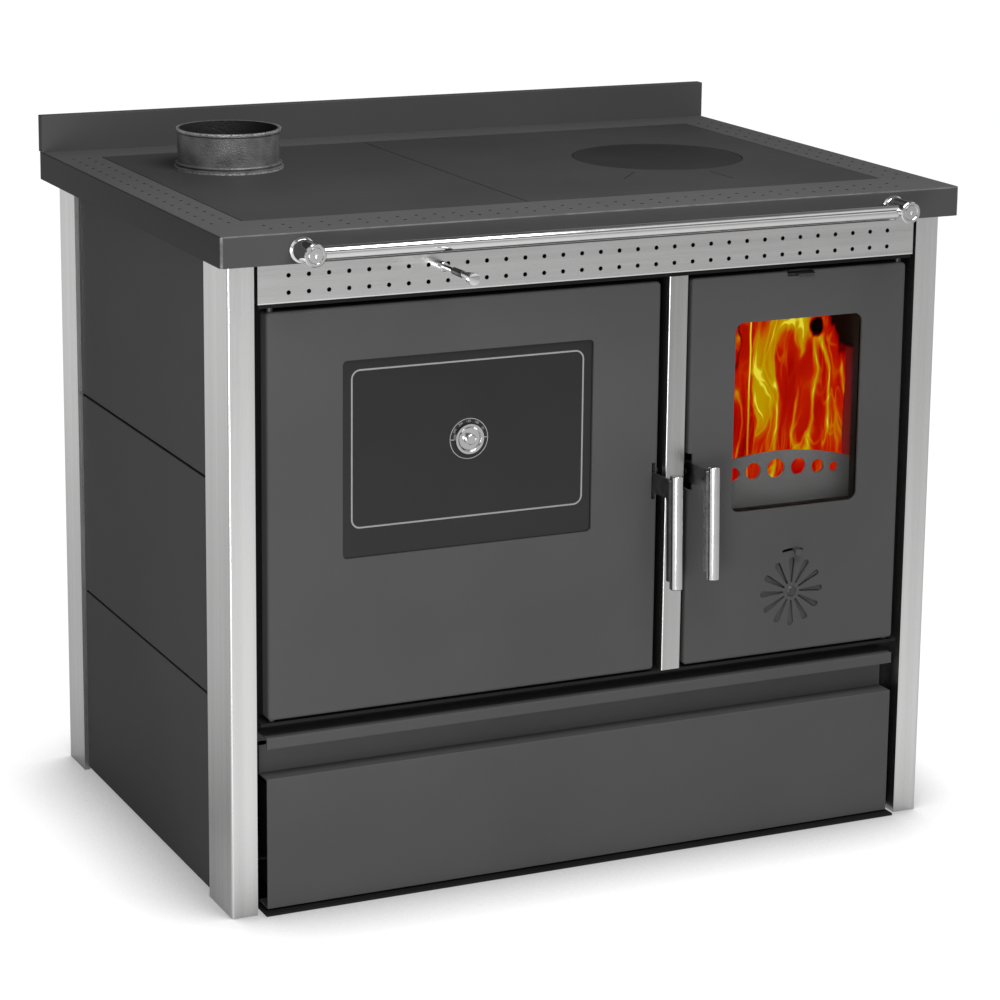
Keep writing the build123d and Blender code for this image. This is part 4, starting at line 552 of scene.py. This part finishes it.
def flame_material(name, shift, gaps):
    """Glowing flames: curling yellow licks over a red body, with dark gaps given as (x, z, half width, half
    height)."""
    made, tree, surface = new_material(name, Roughness=1.0, Specular_IOR_Level=0.0, Emission_Strength=1.0)
    surface["Base Color"].default_value = grey(0.0)
    true_place = object_place(tree)
    axes = axes_of(tree, true_place)
    place = object_place(tree, move=(shift, 0.0, 0.0))
    for scale, reach in swirls:
        swirl = {"Vector": object_place(tree, scale, move=(shift, 0.0, shift)), "Scale": 1.0}
        turn = add_node(tree, "ShaderNodeTexNoise", swirl).outputs["Color"]
        turn = calculate_vector(tree, "SUBTRACT", turn, (0.5, 0.5, 0.5))["Vector"]
        push = calculate_vector(tree, "MULTIPLY", turn, reach)["Vector"]
        place = calculate_vector(tree, "ADD", place, push)["Vector"]

    def stretched(across, up, slip):
        """The bent place, stretched to upright shapes."""
        inputs = {"Vector": place, "Scale": (across, 3.0, up), "Location": (slip, 0.0, slip)}
        return add_node(tree, "ShaderNodeMapping", inputs).outputs["Vector"]

    def licks(across, up, slip, width):
        """Curved lines where a smooth noise crosses its middle."""
        smooth = noise(tree, stretched(across, up, slip), scale=1.0, detail=0.0)
        middle = calculate(tree, "SUBTRACT", smooth, 0.5)
        return remap(tree, calculate(tree, "ABSOLUTE", middle), 0.0, width, 1.0, 0.0)

    def patches(across, up, slip, low, high):
        """Soft patches from 0 to 1."""
        soft = noise(tree, stretched(across, up, slip), scale=1.0, detail=1.0)
        return remap(tree, soft, low, high, 0.0, 1.0)

    body = patches(across=34.0, up=9.0, slip=0.7, low=0.35, high=0.7)
    bold = licks(across=27.0, up=5.0, slip=3.1, width=0.075)
    bold = calculate(tree, "MULTIPLY", bold, patches(across=16.0, up=8.0, slip=8.9, low=0.36, high=0.46))
    thin = licks(across=70.0, up=9.0, slip=5.3, width=0.08)
    thin = calculate(tree, "MULTIPLY", thin, patches(across=13.0, up=9.0, slip=6.1, low=0.40, high=0.50))
    fine = licks(across=95.0, up=16.0, slip=7.7, width=0.06)
    fine = calculate(tree, "MULTIPLY", fine, patches(across=18.0, up=14.0, slip=2.3, low=0.42, high=0.56))
    wisps = licks(across=46.0, up=12.0, slip=4.4, width=0.03)
    thin = calculate(tree, "MAXIMUM", thin, calculate(tree, "MAXIMUM", fine, wisps))
    heat = calculate(tree, "ADD", calculate(tree, "MULTIPLY", body, 0.26), 0.20)
    bold_heat = calculate(tree, "MULTIPLY", calculate(tree, "POWER", bold, 1.2), 0.50)
    heat = calculate(tree, "ADD", heat, bold_heat)
    heat = calculate(tree, "ADD", heat, calculate(tree, "MULTIPLY", thin, 0.24))

    seam = calculate(tree, "ABSOLUTE", calculate(tree, "SUBTRACT", axes["X"], bright_seam))
    seam = remap(tree, seam, seam_width / 3, seam_width, 1.0, 0.0)
    seam = calculate(tree, "MULTIPLY", seam, remap(tree, axes["Z"], 0.52, 0.60, 0.7, 1.0))
    heat = calculate(tree, "MAXIMUM", heat, seam)
    left_of_seam = remap(tree, axes["X"], bright_seam - 0.002, bright_seam, 0.8, 1.0)
    heat = calculate(tree, "MULTIPLY", heat, left_of_seam)

    ragged = noise(tree, stretched(across=60.0, up=25.0, slip=1.9), scale=1.0)
    ragged = calculate(tree, "MULTIPLY", ragged, 0.9)
    for x, z, half_width, half_height in gaps:
        inputs = {"Vector": true_place, "Location": (-x / half_width, 0.0, -z / half_height)}
        inputs["Scale"] = (1 / half_width, 0.0, 1 / half_height)
        round_gap = add_node(tree, "ShaderNodeMapping", inputs).outputs["Vector"]
        away = calculate_vector(tree, "LENGTH", round_gap)["Value"]
        clear = remap(tree, calculate(tree, "ADD", away, ragged), 1.25, 1.55, 0.0, 1.0)
        heat = calculate(tree, "MULTIPLY", heat, clear)
    tree.links.new(ramp(tree, heat, fire_colours), surface["Emission Color"])
    tree.links.new(remap(tree, heat, 0.02, 0.10, 0.0, 1.0), surface["Alpha"])
    return made


guard_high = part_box("log_guard")[1]
flames_bottom = brick_low.z + 0.012
brick_wall = 0.025
front_gaps = (
    (0.424, 0.712, 0.062, 0.092),
    (0.350, 0.672, 0.011, 0.015),
    (0.206, 0.672, 0.032, 0.105),
)
rear_gaps = ((0.424, 0.720, 0.070, 0.100),)
billow_size = 0.06
billow_depth = 0.008
flame_layers = (
    ("flames_front", guard_high.y + 0.007, 0.002, 0.735, 0.0, front_gaps),
    ("flames_middle", guard_high.y + 0.085, 0.006, 0.66, 1.3, rear_gaps),
    ("flames_rear", guard_high.y + 0.170, 0.006, 0.62, 2.9, rear_gaps),
)
for name, depth, margin, top, shift, gaps in flame_layers:
    bpy.ops.object.select_all(action="DESELECT")
    bpy.ops.mesh.primitive_grid_add(
        x_subdivisions=36,
        y_subdivisions=44,
        size=1.0,
        location=((brick_low.x + brick_high.x) / 2, depth, (flames_bottom + top) / 2),
        rotation=(pi / 2, 0.0, 0.0),
    )
    flames = bpy.context.object
    flames.name = name
    flames.scale = (brick_high.x - brick_low.x - 2 * (brick_wall + margin), top - flames_bottom, 1.0)
    bpy.ops.object.transform_apply(location=True, rotation=True, scale=True)
    billow = flames.modifiers.new("billow", "DISPLACE")
    billow.texture = bpy.data.textures.new(name, "CLOUDS")
    billow.texture.noise_scale = billow_size
    billow.strength = billow_depth
    bpy.ops.object.modifier_apply(modifier="billow")
    bpy.ops.object.shade_smooth()
    flames.data.materials.append(flame_material(name.replace("_", " "), shift, gaps))
    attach(flames, "stove")

# ---- Oven door
# A pressed pan in grey enamel with a recessed dark glass, which the black liner clamps from behind on a
# rope seal. The glass carries a printed silver line and a dial round the thermometer.
finish(grey_enamel, "oven_door_panel")

rope_seal, tree, surface = new_material("woven glass-fibre rope", Roughness=0.95)
slanted = object_place(tree, turn=(0.0, radians(45), 0.0))
strands = {"Vector": slanted, "Scale": 260.0, "Distortion": 2.0, "Detail": 2.0}
weave = add_node(tree, "ShaderNodeTexWave", strands).outputs["Fac"]
tree.links.new(blend_colours(tree, weave, grey(0.02), grey(0.06, 0.001)), surface["Base Color"])
height_bump(tree, surface, weave, strength=0.7, distance=0.001)
finish(rope_seal, "oven_gasket", "fire_gasket")

dark_glass, tree, surface = new_material("dark oven glass", IOR=1.36)
smears = noise(tree, object_place(tree), scale=14.0, detail=4.0)
tree.links.new(blend_colours(tree, smears, grey(0.010), grey(0.013)), surface["Base Color"])
tree.links.new(remap(tree, smears, 0.35, 0.7, 0.06, 0.13), surface["Roughness"])
finish(dark_glass, "oven_glass")

print_silver, tree, surface = new_material("printed silver line", Roughness=0.5)
speckle = noise(tree, object_place(tree), scale=1800.0)
tree.links.new(blend_colours(tree, speckle, grey(0.17), grey(0.28)), surface["Base Color"])
print_thickness = 0.00015
glass_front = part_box("oven_glass")[0].y
dial_low, dial_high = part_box("thermometer_bezel")
dial_x = (dial_low.x + dial_high.x) / 2
dial_z = (dial_low.z + dial_high.z) / 2
window_line_size = (0.315, 0.200)
window_line_round = 0.012
window_line = 0.002
dial_radius = 0.026
dial_line = 0.001


def printed_ring(name, width, height, round_by, segments, line):
    """A closed line printed on the glass: a flat face with round corners, inset to a line and thickened."""
    bpy.ops.object.select_all(action="DESELECT")
    bpy.ops.mesh.primitive_plane_add(
        size=1.0, location=(dial_x, glass_front, dial_z), rotation=(pi / 2, 0.0, 0.0)
    )
    ring = bpy.context.object
    ring.name = name
    ring.scale = (width, height, 1.0)
    bpy.ops.object.transform_apply(location=True, rotation=True, scale=True)
    bpy.ops.object.mode_set(mode="EDIT")
    bpy.ops.mesh.select_all(action="SELECT")
    bpy.ops.mesh.bevel(offset=round_by, segments=segments, affect="VERTICES")
    bpy.ops.mesh.select_all(action="SELECT")
    bpy.ops.mesh.inset(thickness=line)
    bpy.ops.mesh.delete(type="FACE")
    bpy.ops.object.mode_set(mode="OBJECT")
    thicken = ring.modifiers.new("print", "SOLIDIFY")
    thicken.thickness = print_thickness
    thicken.offset = 1.0
    bpy.ops.object.modifier_apply(modifier="print")
    ring.data.materials.append(print_silver)
    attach(ring, "oven_door")


printed_ring("printed_window_line", *window_line_size, window_line_round, 8, window_line)
printed_ring("printed_dial_ring", 2 * dial_radius, 2 * dial_radius, 0.9995 * dial_radius, 24, dial_line)

# The dial's numbers and its two ticks, printed with the line.
number_height = 0.0042
number_radius = 0.0222
tick_length = 0.0048
tick_width = 0.0012
upright = Matrix.Rotation(pi / 2, 3, "X")
dial_scale = ((150, "250"), (121, "200"), (92, "150"), (62, "100"), (32, "50"))
for degrees, words in dial_scale:
    angle = radians(degrees)
    bpy.ops.object.select_all(action="DESELECT")
    bpy.ops.object.text_add()
    number = bpy.context.object
    number.data.body = words
    number.data.size = number_height
    number.data.align_x = "CENTER"
    number.data.align_y = "CENTER"
    number.data.extrude = print_thickness
    number.data.resolution_u = 3
    bpy.ops.object.convert(target="MESH")
    number.name = f"dial_number_{words}"
    outward = Vector((cos(angle), 0.0, sin(angle)))
    number.location = Vector((dial_x, glass_front, dial_z)) + number_radius * outward
    number.rotation_euler = (upright @ Matrix.Rotation(angle - pi / 2, 3, "Z")).to_euler()
    bpy.ops.object.transform_apply(location=True, rotation=True, scale=True)
    number.data.materials.append(print_silver)
    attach(number, "oven_door")

for side, name in ((-1, "dial_tick_left"), (1, "dial_tick_right")):
    bpy.ops.object.select_all(action="DESELECT")
    bpy.ops.mesh.primitive_cube_add(size=1.0, location=(dial_x + side * number_radius, glass_front, dial_z))
    tick = bpy.context.object
    tick.name = name
    tick.scale = (tick_length, print_thickness * 2, tick_width)
    bpy.ops.object.transform_apply(location=True, rotation=True, scale=True)
    bpy.ops.object.mode_set(mode="EDIT")
    bpy.ops.mesh.select_all(action="SELECT")
    bpy.ops.mesh.bevel(offset=print_thickness / 3, segments=1)
    bpy.ops.object.mode_set(mode="OBJECT")
    tick.data.materials.append(print_silver)
    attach(tick, "oven_door")

# ---- Thermometer
# A spun and chromed dish with a turned cap and pointer, held through a hole in the glass. Its metal is a
# shade duller than the polished rail's.
dial_metal = chromed("turned thermometer metal", roughness=0.16, tint=0.52)
finish(dial_metal, "thermometer_bezel", "thermometer_pointer")

# ---- Door hinges and latches
# Turned pins and stamped levers, zinc-plated or blackened; the grips are polished chromed bars pinned to
# the levers.


def worn_metal(name, dark, light, metallic, roughness):
    """Plated or blackened steel with worn patches and small scratches."""
    made, tree, surface = new_material(name, Metallic=metallic)
    place = object_place(tree)
    rub = noise(tree, place, scale=85.0, detail=6.0, rough=0.65)
    shade = blend_colours(tree, remap(tree, rub, 0.4, 0.65, 0.0, 1.0), grey(dark), grey(light))
    tree.links.new(shade, surface["Base Color"])
    tree.links.new(remap(tree, rub, 0.3, 0.7, roughness - 0.07, roughness + 0.08), surface["Roughness"])
    height_bump(tree, surface, noise(tree, place, scale=900.0), strength=0.15, distance=0.0003)
    return made


zinc_plate = worn_metal("zinc-plated steel", dark=0.36, light=0.52, metallic=1.0, roughness=0.34)
black_steel = worn_metal("blackened steel", dark=0.012, light=0.026, metallic=0.0, roughness=0.42)
bright_lever = worn_metal("bright latch steel", dark=0.13, light=0.20, metallic=1.0, roughness=0.3)
finish(zinc_plate, "latch_keepers", "drawer_runners")
finish(
    black_steel,
    "hinge_pins",
    "top_air_slide",
    "oven_latch_lever",
    "oven_latch_bracket",
    "fire_latch_bracket",
    "rosette_rivet",
)
finish(bright_lever, "fire_latch_lever")
# The grips take a darker copy of the rail's chrome: painted shade.
grip_chrome_painted_darker = chromed("polished grip chrome with painted shade", roughness=0.10, tint=0.52)
finish(grip_chrome_painted_darker, "oven_grip", "fire_grip")

# ---- Fire door
# The same pressed pan with a clear ceramic glass and the cut-out air rosette, whose enamelled disc turns
# behind the skin.
finish(grey_enamel, "fire_door_panel", "air_rosette")
clear_glass, tree, surface = new_material("clear ceramic glass", Transmission_Weight=1.0, IOR=1.06)
smears = noise(tree, object_place(tree), scale=18.0, detail=4.0)
tree.links.new(blend_colours(tree, smears, grey(0.97), grey(1.0)), surface["Base Color"])
tree.links.new(remap(tree, smears, 0.4, 0.7, 0.0, 0.02), surface["Roughness"])
finish(clear_glass, "fire_glass")

# ---- Wood drawer
# A folded and enamelled front, spot-welded to a black tray that slides on two angles. A finger groove
# above it takes the hand.
finish(grey_enamel, "drawer_front")

# ---- Flue damper
# A chromed rod through a turned bush. Its handle is a black sleeve and a long turned cone with a flat face,
# both pushed on the rod's end.
finish(chrome, "damper_bush", "damper_rod")
cone_low, cone_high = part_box("damper_knob")
rod_x = (cone_low.x + cone_high.x) / 2
rod_z = (cone_low.z + cone_high.z) / 2
cone_radius = (cone_high.x - cone_low.x) / 2
cone_neck_radius = 0.0036
cone_length = 0.028
cone_rim = 0.005
sleeve_radius = 0.0045
sleeve_length = 0.027
turned_chamfer = 0.0007


def turned(name, back_radius, front_radius, length, front_y, material):
    """A round piece on the damper's rod, whose front face is at front_y, with its front edge broken."""
    bpy.ops.object.select_all(action="DESELECT")
    bpy.ops.mesh.primitive_cone_add(
        vertices=48,
        radius1=back_radius,
        radius2=front_radius,
        depth=length,
        location=(rod_x, front_y + length / 2, rod_z),
        rotation=(pi / 2, 0.0, 0.0),
    )
    bpy.ops.object.transform_apply(location=True, rotation=True, scale=True)
    piece = bpy.context.object
    piece.name = name
    piece.data.materials.append(material)
    return piece


def select_front(piece):
    """Goes to edit mode with the piece's front face selected."""
    bpy.ops.object.select_all(action="DESELECT")
    piece.select_set(True)
    bpy.context.view_layer.objects.active = piece
    foremost = min(face.center.y for face in piece.data.polygons)
    for face in piece.data.polygons:
        face.select = face.center.y < foremost + 0.0001
    bpy.ops.object.mode_set(mode="EDIT")
    bpy.ops.mesh.select_mode(type="FACE")


cone_front = cone_low.y + cone_rim
handle = turned("damper_handle", cone_neck_radius, cone_radius, cone_length, cone_front, chrome)
select_front(handle)
bpy.ops.mesh.extrude_region_move(TRANSFORM_OT_translate={"value": (0.0, -cone_rim, 0.0)})
bpy.ops.mesh.bevel(offset=turned_chamfer, segments=2)
bpy.ops.object.mode_set(mode="OBJECT")
sleeve_front = cone_front + cone_length
sleeve = turned(
    "damper_handle_sleeve", sleeve_radius, sleeve_radius, sleeve_length, sleeve_front, black_steel
)
select_front(sleeve)
bpy.ops.mesh.bevel(offset=turned_chamfer, segments=2)
bpy.ops.object.mode_set(mode="OBJECT")
handle.select_set(True)
bpy.context.view_layer.objects.active = handle
bpy.ops.object.join()
bpy.ops.object.shade_smooth_by_angle(angle=smooth_angle)
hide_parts("damper_knob", "damper_sleeve")
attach(handle, "damper")

# ---- Floor and background
# A plain pale floor that runs out to white, keeping the stove's soft shadow. For polished metal only, the
# floor carries a painted shade: darker under and behind the stove, a little darker far out in front and
# towards the right, and the metal mirrors it.
floor_size = 60.0
floor_top = -0.0005
shadow_reach = 0.20
floor_painted_shade_for_metal = (
    (0.06, grey(0.85)),
    (0.25, grey(0.95)),
    (0.42, grey(1.0)),
    (0.47, grey(0.55)),
    (0.50, grey(0.30)),
    (0.58, grey(0.55)),
    (0.66, grey(0.58)),
    (0.86, grey(0.80)),
)


def ray_is(tree, *kinds):
    """1 for rays of any of these kinds."""
    rays = add_node(tree, "ShaderNodeLightPath").outputs
    found = rays[f"Is {kinds[0]} Ray"]
    for kind in kinds[1:]:
        found = calculate(tree, "MAXIMUM", found, rays[f"Is {kind} Ray"])
    return found


def blend_values(tree, factor, first, second):
    """Mix of two values by a factor."""
    inputs = {"Factor": factor, "A": first, "B": second}
    return add_node(tree, "ShaderNodeMix", inputs, data_type="FLOAT").outputs[0]


bpy.ops.object.select_all(action="DESELECT")
bpy.ops.mesh.primitive_plane_add(size=floor_size, location=(0.0, 0.0, floor_top))
bpy.ops.object.transform_apply(location=True, rotation=True, scale=True)
floor = bpy.context.object
floor.name = "floor"
floor_white, tree, surface = new_material("white studio floor")
tree.nodes.remove(tree.nodes["Principled BSDF"])
matte = add_node(tree, "ShaderNodeBsdfDiffuse", {"Color": grey(0.84)}).outputs[0]
open_sky = add_node(tree, "ShaderNodeAmbientOcclusion", {"Distance": shadow_reach}, samples=8).outputs["AO"]
axes = axes_of(tree, object_place(tree))
# Painted shade seen only in metal: darkest round the stove, falling off far in front and to the right.
mirrored = ramp(tree, remap(tree, axes["Y"], -4.0, 4.0, 0.0, 1.0), floor_painted_shade_for_metal)
mirrored = calculate(tree, "MULTIPLY", mirrored, remap(tree, axes["X"], 0.0, 2.2, 1.0, 0.6))
in_metal = blend_values(tree, ray_is(tree, "Glossy"), 1.0, mirrored)
lift_strength = calculate(tree, "MULTIPLY", remap(tree, open_sky, 0.5, 0.88, 0.38, 0.98), in_metal)
lift = add_node(tree, "ShaderNodeEmission", {"Color": grey(1.0), "Strength": lift_strength})
thin_matte = add_node(tree, "ShaderNodeBsdfDiffuse", {"Color": grey(0.10)}).outputs[0]
both = add_node(tree, "ShaderNodeAddShader", {0: thin_matte, 1: lift.outputs[0]}).outputs[0]

seen = ray_is(tree, "Camera", "Glossy", "Transmission")
choice = add_node(tree, "ShaderNodeMixShader", {0: seen, 1: matte, 2: both}).outputs[0]
tree.links.new(choice, tree.nodes["Material Output"].inputs["Surface"])
floor.data.materials.append(floor_white)

# ---- Studio
# A white cyclorama under a dark ceiling, which polished metal shows as bands. Its light is softer from the
# left, so the stove's left side stays darker than its front.
world = bpy.data.worlds.new("studio")
bpy.context.scene.world = world
world.use_nodes = True
tree = world.node_tree
way = axes_of(tree, add_node(tree, "ShaderNodeTexCoord").outputs["Generated"])
from_right = calculate(tree, "MULTIPLY", way["X"], 0.25)
from_above = calculate(tree, "MULTIPLY", way["Z"], 0.12)
ambient = calculate(tree, "ADD", calculate(tree, "ADD", from_right, from_above), 0.385)
panels = (
    (0.50, grey(0.25)),
    (0.53, grey(1.0)),
    (0.62, grey(1.0)),
    (0.66, grey(0.20)),
    (0.76, grey(0.20)),
    (0.80, grey(1.0)),
    (0.88, grey(1.0)),
    (0.93, grey(0.25)),
)
bands = ramp(tree, remap(tree, way["Z"], -1.0, 1.0, 0.0, 1.0), panels)
ahead = calculate(tree, "SUBTRACT", calculate(tree, "MULTIPLY", way["X"], 0.35), way["Y"])
mirrored = calculate(tree, "MULTIPLY", bands, remap(tree, ahead, -0.3, 0.5, 0.22, 1.0))
unseen = blend_values(tree, ray_is(tree, "Glossy"), ambient, mirrored)
strength = blend_values(tree, ray_is(tree, "Camera", "Transmission"), unseen, 1.0)
background = tree.nodes["Background"]
background.inputs["Color"].default_value = grey(1.0)
tree.links.new(strength, background.inputs["Strength"])


def soft_box(name, place, target, width, height, power):
    """Area lamp that faces a point."""
    data = bpy.data.lights.new(name, "AREA")
    data.shape = "RECTANGLE"
    data.size = width
    data.size_y = height
    data.energy = power
    lamp = bpy.data.objects.new(name, data)
    bpy.context.scene.collection.objects.link(lamp)
    lamp.location = place
    lamp.rotation_euler = (Vector(target) - Vector(place)).to_track_quat("-Z", "Y").to_euler()
    lamp.visible_camera = False


soft_box("key lamp", place=(-1.3, -2.1, 0.35), target=(-0.1, -0.3, 0.35), width=0.7, height=0.8, power=24.0)
soft_box("top lamp", place=(0.0, -1.3, 2.3), target=(0.0, -0.1, 0.8), width=1.4, height=1.0, power=43.0)

# ---- Camera
# A long lens from the front left, a little above the hob, placed so that the stove stands in the picture
# as it does in the photograph.
camera_place = Vector((-1.77241, -3.83650, 1.52400))
heading = radians(25.058)
pitch = radians(12.712)
roll = radians(0.618)
data = bpy.data.cameras.new("camera")
data.sensor_width = 36.0
data.lens = 115.216
data.shift_y = -0.12
data.clip_end = 200.0
camera = bpy.data.objects.new("camera", data)
bpy.context.scene.collection.objects.link(camera)
aim = Matrix.Rotation(-heading, 4, "Z") @ Matrix.Rotation(pi / 2 - pitch, 4, "X")
aim = aim @ Matrix.Rotation(roll, 4, "Z")
camera.matrix_world = Matrix.Translation(camera_place) @ aim
bpy.context.scene.camera = camera
bpy.context.scene.view_settings.view_transform = "Standard"
